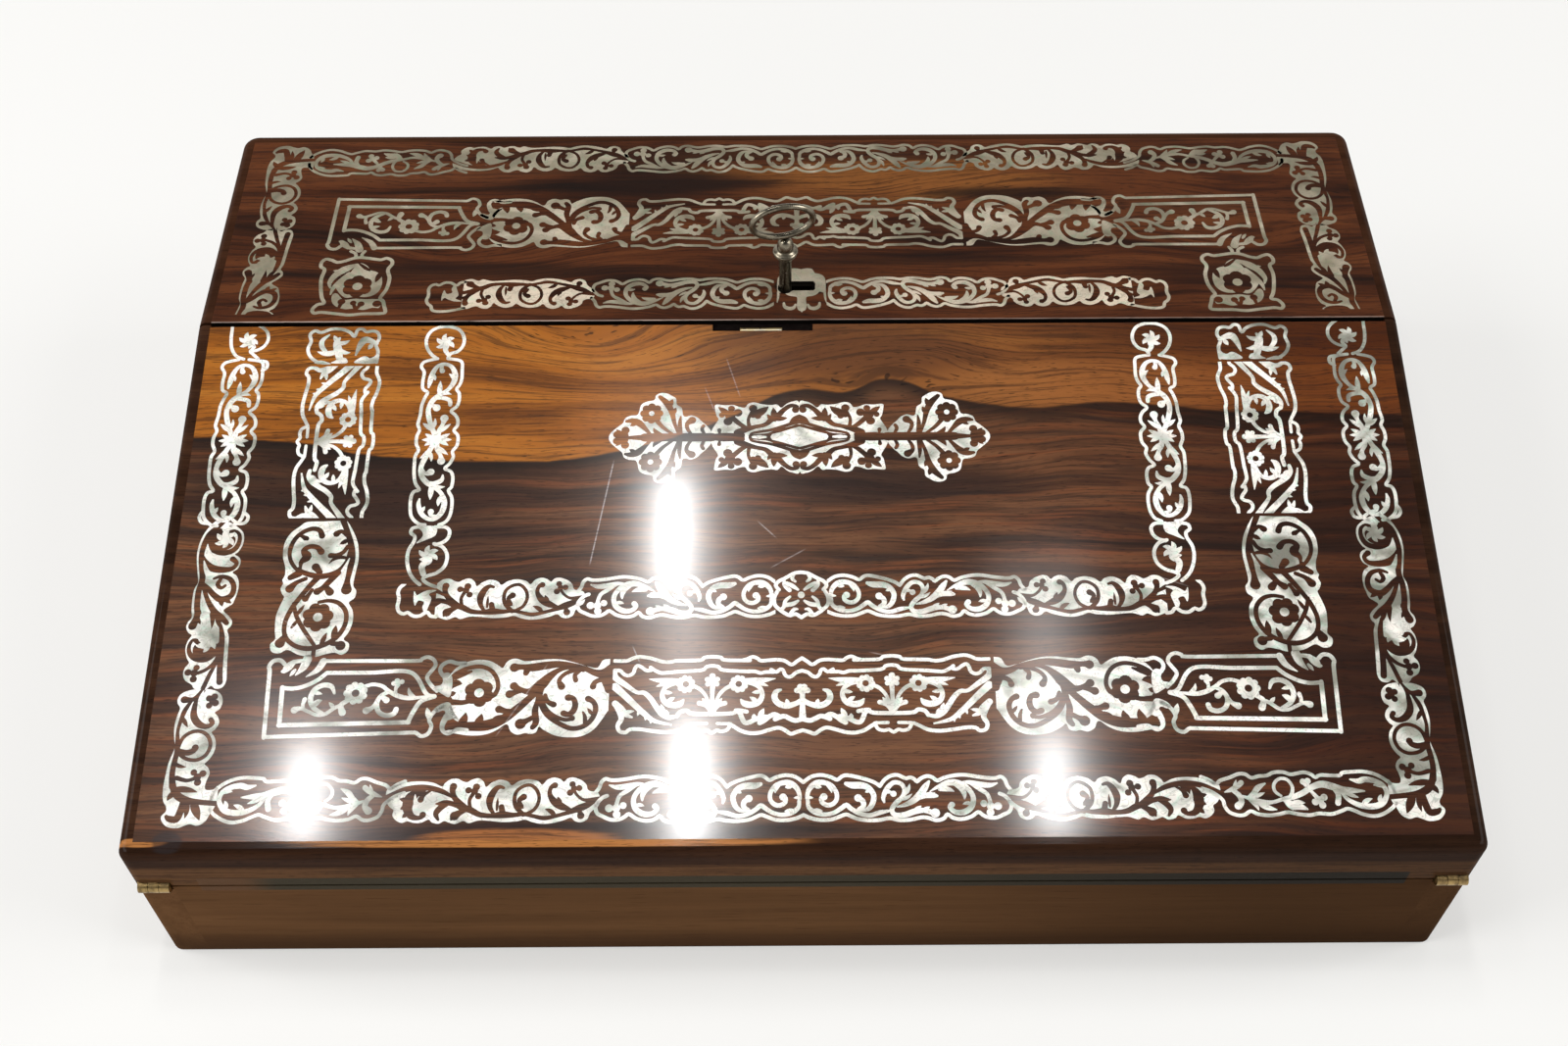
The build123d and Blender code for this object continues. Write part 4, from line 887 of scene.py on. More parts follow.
# The palmette between two scrolls that fills the panel.
PALMETTE_LEAVES = """
# Upper scroll and its leaves
shell: 4.2 19.5 0.5, 3.8 22 1.7, 3.2 25 1.7, 1.8 27.7 1.3, -0.4 28.6 1.2, -2.8 27.6 1.4, -4.2 24.8 1.8,
 -4 21.8 1.8, -2.2 18.8 1.3, 0.4 16.8 1.7, 2.4 14.8 1.8, 3.5 11.8 1.6, 3.2 8.8 1.7, 2 5 1.6, 0.2 1 1.8
shell: 0.1 28.4 0.9, 0.4 27 1.3, 0.1 26 1.8
leaf: 3.2 24.6, 2.2 22.4, 1.3 -0.1
leaf: -4 22.6, -2.2 24.9, 1.3 0.1
leaf: 0.4 17, 0.4 22.2, 1.7
leaf: 0.8 17, -3.6 17.1, 1.4 -0.12
shell: 2 15.6 1, -0.6 15.8 1.4, -3 15 1.5, -3.4 13.2 1.3
shell: 3.4 12.2 1, 2.2 12.9 1.2, 0.9 12.1 2.6
# The palmette
leaf: -0.4 0.4, -4.8 0.3, 1.6
leaf: -0.4 0.4, -4.1 2.5, 1.6
leaf: -0.4 0.4, -3.9 -1.8, 1.6
leaf: 0.6 0.4, 4.8 0.3, 1.6
leaf: 0.6 0.4, 3.9 2.5, 1.6
leaf: 0.6 0.4, 3.8 -1.8, 1.6
shell: -0.4 0.6 1.4, -0.5 3.4 1.6, -1.6 6.2 1.3, -1.9 8.2 2.7
leaf: -0.6 3.2, -4.1 6.1, 1.5
leaf: 1.8 4.4, 1.1 8.2, 1.3 0.1
leaf: 1.8 4, 4.9 6.4, 1.6
shell: -0.3 0 1.3, -0.4 -3 1.6, -1.7 -5.6 1.3, -2 -7.5 2.6
leaf: -0.5 -2.4, -4 -5.2, 1.5
leaf: 1.6 -3, 4.9 -6.4, 1.8 -0.08
leaf: 2.4 -4, 1.2 -7.6, 1.4 -0.12
# Lower scroll and its leaves
shell: 0.4 0 1.6, 1.6 -2.8 1.6, 3 -5.8 1.8, 4.2 -9.4 1.6, 3.9 -12.6 1.7, 2 -15.2 1.8, -0.4 -16.8 1.5,
 -2.8 -19 1.4, -4.1 -22.2 1.8, -3.6 -25.6 1.8, -1.6 -28 1.5, 0.8 -28 1.4, 3 -26 1.6, 4 -23 1.4,
 3.8 -20.8 0.5
shell: 3.9 -10.4 1, 2.6 -12 1.3, 1 -11.4 2.4
shell: 2.2 -15 1, -0.2 -15.6 1.6, -2.6 -14.4 1.5, -2.9 -12.6 0.6
leaf: 0.4 -16.2, -3.9 -16.7, 1.4 0.1
leaf: 0.4 -16.4, 0.5 -21.3, 1.8
leaf: -3.4 -20, -2.2 -23.6, 1.7 0.1
shell: -1.9 -27.2 1, -0.2 -26.8 1.2, -0.1 -25.6 2
leaf: 3 -25.6, 1.9 -23.7, 1.3
"""

# The curl that the flap's outer side bands end in at the seam, cut by it.
OPEN_ROUNDEL = """
line 1.1: -4.4 30.9, -2.6 32.6, -1.4 33.9, -3.4 34.2, -5.6 35.6, -6.8 38.2, -6.2 41.2, -4 43.4, -2.4 44.2
line 1.1: 0.4 30.9, 3 32.1, 4.8 35, 5.5 38.8, 5.6 44
shell: -1.4 34 1, -2.4 35.4 1.4, -1.2 37 1.8
claw: -0.4 38 1 0
"""

# The ring that the flap's inner side bands end in at the seam.
CLOSED_ROUNDEL = """
line 1.15: -1.4 31, -2.2 32.6, -4.4 33.4, -6 35.6, -6.2 38.6, -4.6 41.6, -1.6 42.9, 1.8 42.9, 4.8 41.4,
 6.2 38.4, 5.8 35, 4.2 32.4, 2.6 31
shell: -1.4 32.2 1.3, -0.4 33.8 1.6, -0.4 35.6 2
claw: -0.2 36.9 1 10
"""

# The stretch of the outer side bands drawn in wood on shell, with three curled leaves.
SIDE_SCROLL = """
fill: -1.4 28.4, -3.4 27.6, -5.8 25.9, -7.2 24.3, -7.7 22.2, -7.4 19.8, -6.4 17.7, -5.5 16.8, -7 15.8,
 -7.6 14.1, -7 12, -5.5 10.7, -7 9.4, -7.9 7, -7.9 4, -7.4 1.9, -6.8 0, -5.2 -1.2, -4.3 -2.3, -6.2 -4.1,
 -7.4 -5.8, -7.2 -7.5, -6.3 -8.7, -7 -11, -7.3 -14.7, -7.5 -18.3, -7.8 -22, -8 -25.6, -7 -27.6, -5 -27.9,
 -3.6 -27, -1.8 -28.4, 1.1 -28, 2.4 -26.5, 4.4 -25.2, 5.3 -23.2, 5 -21.1, 4 -19.5, 4.9 -17.9, 5.7 -15.1,
 5.4 -12.5, 4.4 -10.4, 5.4 -9.7, 6.4 -8, 6.2 -6.2, 5.2 -4.5, 5.6 -1.7, 5.8 2, 5.6 5.1, 4.8 7.2, 5.2 9.8,
 6 13.8, 6.4 17.8, 5.8 22, 4.3 25.6, 2.2 28.3, 0.6 29
# The stem down the right side
wood: -1.8 30.4 1.3, -0.4 28 1.4, 1.4 26 1.8, 3.2 23.6 2.4, 4.6 20 1.8, 4.9 16 1.7, 4.2 12 1.8, 3.6 8.4 1.9,
 4.2 4.4 1.9, 4.1 0 1.9, 3.6 -4 2, 4.6 -7.4 2.6
# Upper curl
wood: -2.8 24.4 1.4, -4.4 25.1 1, -6 23.8 1.2, -6.3 21.2 1.5, -5.2 18.7 1.8, -2.8 17.5 2, 0 18 2.4,
 2.4 19.8 2.6, 3.2 22.4 2.4
wood fill: -5 22.4, -4.4 19.6, -2 18.4, 1 19.6, 2.6 22, 1.8 24.8, 0 26, -1 24.6, -3 24
claw: -1.9 22.2 1 15
shell: -2.4 27 1.8, -1.8 25 1.8, -1.8 23 2
shell: 3.5 20.5 0.3, 3.1 18.3 1.2, 1.6 16.3 1.5, -1 15.4 1.4, -4 16.1 1.5
# Middle curl
wood: -5 15.3 1.9, -6.4 13.8 1.4, -5.2 12 1.6, -2 11.6 2.2, 1.2 12.3 2.4, 3.4 14.4 1.6, 4.4 16 1.2
leaf: -2.2 15, -4.2 13.3, 1.4
leaf: -2 15, 0.2 13.3, 1.4
shell: 3.9 14.8 0.3, 3 12 1.3, 1.6 9.6 1.9, 0.2 8.6 1.6
# Lower curl
wood: 0 8.6 0.9, -2.2 9.3 1.3, -5 8.4 1.6, -6.5 5.8 1.7, -6 2.8 1.9, -3.2 1.5 2.2, -0.8 2.9 1.9,
 1.4 5.2 1.7, 3.6 6.8 1.8
wood: -2.2 8.6 1.2, -1.4 6.6 1.5, -2.6 5.4 1.2, -3.8 6.2 1
wood leaf: -4 1.8, -6.4 0.2, 1.5
wood leaf: -3 1.4, -3.7 -0.8, 1.6
# Crossing leaves
wood: 2.8 5.8 1.4, 1.2 1.6 1.5, -1.4 -2.4 2, -4 -4.6 2, -5.8 -6.4 1.6
wood leaf: -2.6 -3.8, -3.9 -8, 1.8
wood leaf: -1 -2.6, -1.2 -8.6, 2
shell: 2.9 3.4 0.3, 2 0 1.3, 1 -3.6 2.2, 0.4 -7 2.8, 0 -10.6 3.6
wood leaf: 3.8 -1.6, 2.4 -3.4, 1.2
wood leaf: 3.6 -4.4, 2.2 -6.8, 1.3
# The long stem down the left side
wood: -4 -7 1, -4.9 -10.6 1.7, -5.2 -14.6 1.9, -5.4 -18.6 1.9, -5.7 -22.6 1.9, -6.1 -25.8 2
# The lowest curl
wood: 2.2 -12.6 1.9, 3.8 -12 1.1, 4.7 -14 1.2, 4.2 -16.4 1.5, 2.2 -18.1 1.9, -0.8 -18.2 2.2, -3.2 -16.3 2.2,
 -4.6 -13.6 1.8
wood fill: -3.6 -13.2, -4.2 -16, -1.4 -17.8, 1.6 -17.8, 3.4 -16, 3 -13.6, 1.4 -14.6, -1 -14.8
claw: -0.5 -12.6 1.05 200
dots: -0.2 -10.6 2
wood: -4.6 -15.8 0.8, -3.8 -19.2 1.3, -1.6 -21.6 1.2, 0.8 -22.8 1.2
wood dots: 1.5 -21.1 1, 3.9 -22.6 1.1, 2 -24.8 1.1, 2 -22.8 1.2
wood: -4.4 -19.4 0.8, -3 -22.6 1.3, -2 -25.6 1.4, -0.8 -29.4 1.5
"""

# The foot of an outer side band: a ring and clovers in wood on shell, and the corner leaf.
CORNER_SCROLL = """
fill: -2 22, -4 21.8, -6 21.1, -7.4 19.6, -7.8 17.6, -7.2 15.5, -5.9 14.5, -7 13.1, -7.6 11.1, -6.6 9,
 -5.7 8.2, -6.9 6.5, -7.5 4.1, -7.1 1.6, -6 -0.4, -4.9 -1.7, -6 -2.7, -6.8 -4.5, -6.3 -6.5, -5.9 -8.4,
 -6.4 -9.7, -8.6 -9.6, -9.8 -8.6, -9.8 -14, -8.5 -17, -7.3 -19.4, -5.2 -20.6, -3.1 -20.1, -1.6 -20.5,
 0.6 -21.3, 3.5 -20.9, 5.3 -19.3, 5.7 -17.7, 4.6 -16.3, 4.6 -15, 5.8 -12.9, 6.3 -9.7, 6.2 -5.6, 5.8 -1.5,
 5 1.6, 4.6 3.7, 5.2 6.6, 5.6 9.8, 5.3 13.1, 4.7 15.9, 5.6 17.3, 5.8 18.9, 4.9 20.5, 2.6 21.6, -0.2 22
# Clover at the top left
wood dots: -5.2 19.5 1.1, -5.7 17.5 1.1, -3.9 16.7 1, -3.6 19 1, -4.7 18.3 1.1
# The stem with its round end, and the first curl
wood: -2 22.6 1.4, -0.4 20 1.6, 1.4 18.6 1.5, 3.8 18.6 2.3
wood: -0.2 19.8 1.2, 0.4 16.4 1.6, 0.2 13.2 2.2, -1.6 10.8 2.2, -4 10 1.6, -5.6 11 1.5, -5 12.2 1.6
leaf: -1.8 14.6, -1.7 21.6, 1.4 -0.1
wood: 1.6 18.2 1, 3.2 15 1.5, 4 11.6 1.2, 4.4 8.4 1.1, 4 5 1.5, 3.8 1.6 1.6, 4.2 -2 1.7, 4.2 -5.4 1.8,
 3.6 -8.6 2.2
wood leaf: 3.7 13, 1.6 9.8, 1.4
# The ring and its curl
wood: 3.6 3.4 1.2, 2.6 6.4 1.2, 0.4 8.2 1.2, -2.4 8.5 1.2, -4.8 7 1.2, -5.9 4.2 1.2, -5 1.2 1.2,
 -2.6 -0.4 1.2, 0.4 -0.2 1.2, 2.6 1.2 1.3, 3.6 3 1.4
wood: 3 2.4 1.4, 0.8 1.8 1.9, -1 2.4 1.8, -1.5 3.4 2.1
wood leaf: 4 -1.4, 0.4 -2.6, 1.3 0.1
# Second clover
wood dots: -4.8 -4.7 1.1, -2.1 -4.3 1, -3.6 -7.4 1.1, -3.3 -5.8 1.2
wood: -3 -6 1.2, -0.4 -6.8 1.2, 2.8 -6 1.5
wood leaf: 3.2 -9.6, -3.9 -10.4, 2 -0.06
# The corner leaf
wood: 3.6 -8.6 2, 1.8 -11.4 2.4, -1.4 -13 2.2, -5.4 -13.5 1.7, -9.9 -13.9 1.6
wood leaf: 2.6 -10.4, 4.6 -13, 1.8 0.1
wood leaf: -3 -13.4, -5.6 -18.9, 2.6
wood leaf: -1 -13, -1.2 -18.4, 1.8 -0.08
wood: -0.4 -13 2.2, 0.2 -16 2.2, 1.2 -18.6 2.2, 3.4 -18.4 1.9, 4.2 -17.8 1.2
"""

# Half of the spray in a frame: a flower on a stem, and the scroll that springs from it.
SPRAY_HALF = """
shell: 0.1 -4.6 1.8, 1 -2.6 1.2, 2 0 1.1, 3.8 2.1 1.2, 6 3.3 1.3
shell: 0.3 -5 1.4, 1.8 -3.1 1.5, 3.9 -2.4 1.5
leaf: 1.2 -3.4, 3 -0.8, 1.5
shell: 9.6 4.3 1.2, 12.4 3.8 1.5, 14.4 2.4 1.4, 15.1 0 1.5, 14 -2.2 1.8, 11.6 -3 2, 9.6 -2.5 1.9,
 8.7 -1.4 0.7
leaf: 9 4.8, 19.2 5.4, 1.9 -0.03
leaf: 13 4.4, 17 3, 1.3
leaf: 14.6 1.2, 12 0.9, 1.3
leaf: 13.4 -1.8, 11.3 -0.5, 1.4
flower: 8 3.7 2.9 9 1
"""

# The spray's own stem and bud, which both halves share.
SPRAY_HEART = """
shell: 0 -5.3 2.6, 0 -3 1.5, 0 0 1.3, -0.1 3.4 1.6
dots: 0 6.2 1, -1.5 5.2 0.85, 1.5 5.2 0.85, -1.4 3.7 0.8, 1.4 3.7 0.8, 0 4.6 1.3
"""

# The slanting leaves that close a frame at its right end, from its edge.
FRAME_END = """
line 1.15: -18.4 11.3, -16.5 10.9, -14 11.2, -11 12.2, -7.5 12.7, -5.5 12.2, -3.6 11.4, 0 11.4
line 1.15: -18.6 7.7, -16.4 7.5, -14.2 7.4, -12.4 8.2, -11 9.2
line 1.15: -11.2 8.3, -9.8 8.2, -8.4 9.2, -7 9.8, -6.2 8.8, -5.8 7.4, -4.4 6.6, -3 7, -1.8 8.2, -0.4 8.3
shell: -0.2 8.2 1.4, -0.4 6 2, -3.8 3.4 1.6, -7 1.2 1.2, -9.2 1 1.4, -11.2 -0.8 1.6, -12.8 -3.2 1.7,
 -14.6 -5.6 1.8, -16.6 -6.9 1.5, -18.6 -6.7 1.2
leaf: -15.2 -5.6, -14.4 -2.7, 1.6
leaf: -16.6 -6.4, -15.9 -4.4, 1.2
shell: -0.4 3 2.4, -3.6 0 2.1, -6.6 -3 1.9, -9.6 -5.8 1.7, -12.6 -8 1.3, -17.8 -9.3 0.5
leaf: -8 -4.4, -7.4 -6.4, 1
leaf: -10 -6.2, -9.8 -7.8, 1
leaf: -11.6 -7.4, -11.4 -8.8, 1
shell: -0.6 -2.4 2, -2.6 -4.4 2.2, -4 -6 1.6, -5.8 -6.8 0.6
leaf: -3.6 -5.2, -6.4 -4.8, 1.2
shell: -0.9 -3 1.6, -2.2 -5.4 1.8, -2.6 -7.4 1.6, -1.6 -9.4 1.3, -2.2 -11.2 1.2, -4 -11.6 1.2,
 -5.2 -10.7 1.2, -8 -10.6 1.2, -12 -11.2 1.2, -16 -11.6 1.2, -19.4 -11.2 1.2, -22 -9.9 1.1, -23.6 -9.1 1.1
"""

# The stretch of a frame's two lines between its ends, round the foot and the head of the spray.
FRAME_MIDDLE = """
line 1.15: -11.4 11.3, -3.8 11.5, -2.6 12.3, 0 12.6, 2.6 12.3, 3.8 11.5, 11.4 11.3
line 1.15: -11.4 7.7, -3.4 8.2, -1.8 9.3, 0 9.6, 1.8 9.3, 3.4 8.2, 11.4 7.7
line 1.3: -10.4 -5.2, -7.6 -4.8, -6 -5.7, 0 -5.9, 6 -5.7, 7.6 -4.8, 9.6 -5.2, 10.6 -6.6
line 1.1: -5.6 -9.1, -4.6 -10.9, -2.8 -11.4, -1.4 -11.1, 0 -11.9, 1.4 -11.1, 2.8 -11.4, 4.6 -10.9, 5.6 -9.1
line 1: -5.4 -9, -1.6 -8.9
line 1: 1.6 -8.9, 5.4 -9
"""

# The lines of half of the wavy frame in the centre of a middle band.
CENTRE_LINES = """
line 1.15: 0 12, 1.6 10.9, 3.2 9.9, 5.4 11.2, 8 11.5, 12.4 11.2, 13.4 11.9, 15 12.5, 16.6 11.8, 18 11.4
line 1.15: 0 7.9, 1.8 7.3, 3.2 6.1, 4.4 5.9, 5.3 6.8, 5.7 8, 6.6 8.4, 7.8 7.5, 9.4 8.3
line 1.15: 8.6 7.5, 11 7.5, 12.6 7.2, 14.2 7.7, 16.4 7.8
line 1.2: 0 -11.2, 2 -11.8, 3.6 -12.3, 5.4 -11.1, 7.2 -10.4, 10 -11, 13 -11.9, 16 -12, 18.6 -11.2,
 20.6 -9.9, 22.2 -9
line 1.5: 0 -7.6, 2.2 -8.1, 4 -7.4, 5.4 -6.7, 6.8 -7, 8.2 -7.6
line 1.5: 7 -6.8, 8.4 -6.1, 10 -6.8, 11.6 -8.1, 12.9 -8.8
line 1.5: 10.6 -7, 12 -6.9, 14 -7.6, 16 -8.6, 17.4 -8.6, 18.3 -7, 18.8 -5.6, 20 -4.9
leaf: 13 -7, 11.6 -4.2, 1.7
leaf: 14.6 -7.6, 14.6 -5.9, 1.5
"""

# The curl beside the very middle of that frame, which its mirror image completes.
CENTRE_CURL = """
shell: 6.5 1.7 0.8, 7.9 1.1 1.6, 8.4 -0.8 1.9, 7.2 -2.6 1.9, 4.8 -3.4 1.9, 2 -2.7 1.6, 0.2 -1.6 1.6
leaf: 4.4 -2.8, 4.8 -1.2, 1.4
dots: 0.6 2.6 1, 1.6 1.5 0.9, 0 1.2 1.2
shell: 0 1 1.6, 0 -3 1.6, 0.3 -7.6 1.6
"""

# The stretch beside the centre frame: a flower in one ring, an acanthus spiral in the other.
FLOWER_AND_ACANTHUS = """
fill: 60.6 11.6, 62.2 9.2, 65 9.6, 69 10.9, 73 11.9, 77 12.1, 81 11.7, 84.4 11.5, 86.4 12.2, 88.2 12.2,
 89.8 11.2, 90.9 9.3, 92.4 10.2, 95 11.6, 98.6 12, 102.4 11.1, 105.2 9.2, 107 6.6, 107.6 4.6, 105.6 4.6,
 103.4 4, 105.8 2.6, 106.2 0.6, 105.2 -1.6, 106.4 -4, 104.6 -7, 102 -9, 106.6 -9.8, 107.4 -10.9, 104 -11.6,
 99.4 -12.3, 95 -12, 91.6 -10.6, 89.2 -8.8, 88.2 -9.2, 87.4 -11, 85.4 -12.1, 83 -11.6, 81.6 -11.9,
 79.8 -11.4, 79 -9.6, 77.4 -10.7, 74 -12.4, 70 -13, 66 -12.6, 62.6 -10.6, 60.2 -7.4, 58.6 -4.8, 57.6 -4,
 57.6 0, 58.6 1, 60.4 3.6, 61 6.6, 60 8.6, 57 10.9, 57 12, 59 12
# Wood round the acanthus spiral
wood: 57 9.6 3, 60 7.4 3, 62.8 7.6 2.2, 66 9 1.7, 70 10 1.8, 74 10.4 2.2, 78 10 2.6, 82 9.4 2.6,
 85.4 9.6 1.8, 87.4 9.4 2.9
wood: 83.4 8.8 2.2, 83.8 7.6 1.8
wood: 58.6 2 2.2, 59.4 5 2.4, 60.4 7.4 2
wood: 66.4 8.6 1.6, 70.6 9.3 1.3, 74 8.4 1.6, 76.8 6.2 2.6, 79.2 3.6 3.4, 82.4 1.6 2.2, 85.4 2.4 1.6,
 87.2 3.4 2.6
wood: 84.4 2 1.4, 86.6 1.4 1.6, 88.4 0.8 2.6
# The spiral's outer ring of wood
wood: 78.8 4 2.6, 79.2 0.6 1.8, 78.4 -3 1.8, 76.6 -6 1.6, 73.4 -8.4 1.6, 69.4 -10.2 1.6, 65.8 -9.6 1.6,
 63.2 -7.2 1.6, 62.2 -4 1.7, 63 -1.8 1.6, 64.6 -0.8 2
wood: 72.8 3.2 2.3, 73.6 5.2 1.4, 72 7.2 1.3, 69.4 8.4 1.5, 67.6 9 1.5
wood: 68.6 5.2 1.6, 68.9 6.8 1.4, 67.8 8.2 1.6
wood: 63.3 3.1 2, 62.8 4.4 1.6, 61.4 5.2 1.6, 60.2 5.2 1.6
wood: 70.6 -0.4 2.2, 69 -0.8 1.7, 68.4 -2.8 1.9, 69 -4.8 1.9, 70.4 -5.8 1.8, 71.8 -5.4 2
wood dots: 69.2 -7 0.95
wood: 77.6 0.4 1.3, 76.8 -1.6 1.5, 74.9 -2.6 1.9
wood: 78.8 0 1.2, 77.4 -3.6 1.4, 75 -6 1.4, 71.6 -7.4 1.3, 69.2 -7.2 1.3
wood: 65.2 -8.4 1.4, 65.4 -6.4 1.2, 66 -5 0.6
wood leaf: 63.2 -5.8, 64.7 -3.8, 1.2
# The stem that swings down below the flower
wood: 80.2 1.6 2, 83 -1.2 2.2, 86.2 -4.2 2.6, 90 -7.2 3, 94.4 -9 3.4, 99 -9.4 3, 103 -9.2 2.6,
 106.4 -9.4 2.4, 108.8 -10.3 3
wood: 87.6 -5 2.4, 89.4 -4.6 1.8, 91.3 -4 2.4
wood leaf: 93 -8.4, 90.2 -5.8, 2.4
wood leaf: 98 -9, 96.4 -5.4, 2.4 0.1
wood leaf: 103 -9.4, 101.2 -5, 2.6 0.1
# The blade between the rings
wood: 79.6 2.6 1.8, 79.8 -1 1.4, 80.4 -4.6 2, 80 -8.2 2, 80.9 -9.8 1.6
wood: 81.2 -6.8 1.6, 83 -7.8 1.8, 84.6 -8.7 3.4
# Ring and flower
wood: 108.4 -1.6 2.6, 105.4 -1.7 2, 102.4 -1.8 1.6, 100 -1.2 1.6
wood: 107.8 1.6 3.2, 107 4.4 2.2, 105 7.4 1.5, 101.6 9.2 1.4, 97.8 9.8 1.4, 94.6 8.6 1.4, 92.6 6 1.4,
 92 3 1.4, 93 0.6 1.6, 94.6 0.2 1.8
wood: 105 6.4 1.8, 102.6 7.4 1.6, 100.4 8.2 0.8
wood leaf: 105.6 4.8, 102.9 4.2, 2
wood leaf: 106.6 0.8, 104.6 1.4, 1.8
wood flower: 97.6 1.3 4.6 6 1.45 0.4
"""

# The pointed frame with a spray that fills the corner of a middle band.
CORNER_FRAME = """
line 1.2: 110.4 2, 112.4 4, 113.7 6.4, 112.4 8.6, 111.4 10.4, 112.2 12.2, 114 13, 115.8 12.4, 117 11.8,
 131 11.8, 146 11.9
line 1.2: 108 -2.8, 110.6 -4.6, 112 -7.2, 111.2 -9.2, 112 -11.6, 114 -12.4, 115.8 -11.3, 118 -11.3,
 138 -11.8, 160.6 -12.4
line 1.3: 161 -12.6, 161.4 -2, 161.6 8, 162 10.2, 160.8 12, 158.8 12.2, 157.4 11
leaf: 112 -6.8, 113 -3.4, 1.8
line 1.3: 111 0.3, 113.6 1.2, 118.8 8, 131 8, 144.2 8
line 1.3: 144.2 8, 146.8 5.7, 150.4 3.8, 153.8 3, 157.2 3.2
line 1.4: 157.2 3.4, 156.8 -8.8
line 1.4: 157 -8.7, 138 -8.4, 118.2 -8
line 1.4: 118.4 -8, 116.8 -4.2, 114.8 -1.2, 111 0.2
# The corner leaves
shell: 145.6 11.8 2.2, 147.2 9 1.8, 150.5 6.7 0.3
shell: 150.6 12.6 2.8, 151.6 9.8 2.2, 153.8 7.2 0.3
shell: 152 12 1.2, 154.4 11.6 1.4, 155.6 9.8 1.4, 157.4 8.6 1.4, 158.2 8.7 0.5
shell: 154.6 11.8 1.2, 156.6 10.2 1.6, 157.2 8.8 1.2
leaf: 154 9, 155.4 7, 1.2
# The spray
flower: 134.9 1.4 3.7 9 1.2
shell: 132.4 3.5 1.2, 129.8 4.2 1.2, 127 3.6 1.2, 124.8 1.9 1.3, 121.6 0.3 1.5, 118 -0.3 1.3, 113 0.3 0.6
leaf: 117 0, 119 3.1, 1.4 -0.15
shell: 122.6 0.8 0.9, 122.9 2.6 1, 122.4 4 1.6
dots: 121.2 5 0.8, 122.6 5.2 0.9, 123.6 4.5 0.8
shell: 124.8 1.8 1.2, 127 0.6 1.3, 128.2 -1.8 1.5, 127.4 -4.6 1.5, 125 -5.8 1.5, 122.8 -5.2 1.6,
 122.2 -3.8 1.6
shell: 127 0.4 1.2, 125.4 -0.9 2
shell: 128 -1 1.2, 129.4 -3.2 1.3, 131.2 -4.2 2.2
shell: 136.8 -0.8 1.4, 138.9 -2.4 1.6, 138.3 -4.8 2.2
shell: 138.6 -2.3 1.2, 140.8 -3.3 1.2, 143.4 -5.2 1.2, 146 -5.5 1.1, 148.8 -4.3 1.1, 151 -3.4 1.2,
 152.8 -3.9 2.2
shell: 150.2 -3.6 1.2, 150.4 -2 1.1, 150 -0.5 1.4
shell: 144.2 -5 1, 147 -3.3 1.5, 148.3 -0.6 1.6, 147.5 2.4 1.6, 145 4 1.6, 142.4 3.6 1.5, 141.3 1.4 0.8
leaf: 147.2 -2.6, 144.8 -0.8, 1.8 -0.1
leaf: 147.8 1.8, 144.9 1.2, 1.3
leaf: 141 -3.2, 142.6 -1.5, 1.3
"""

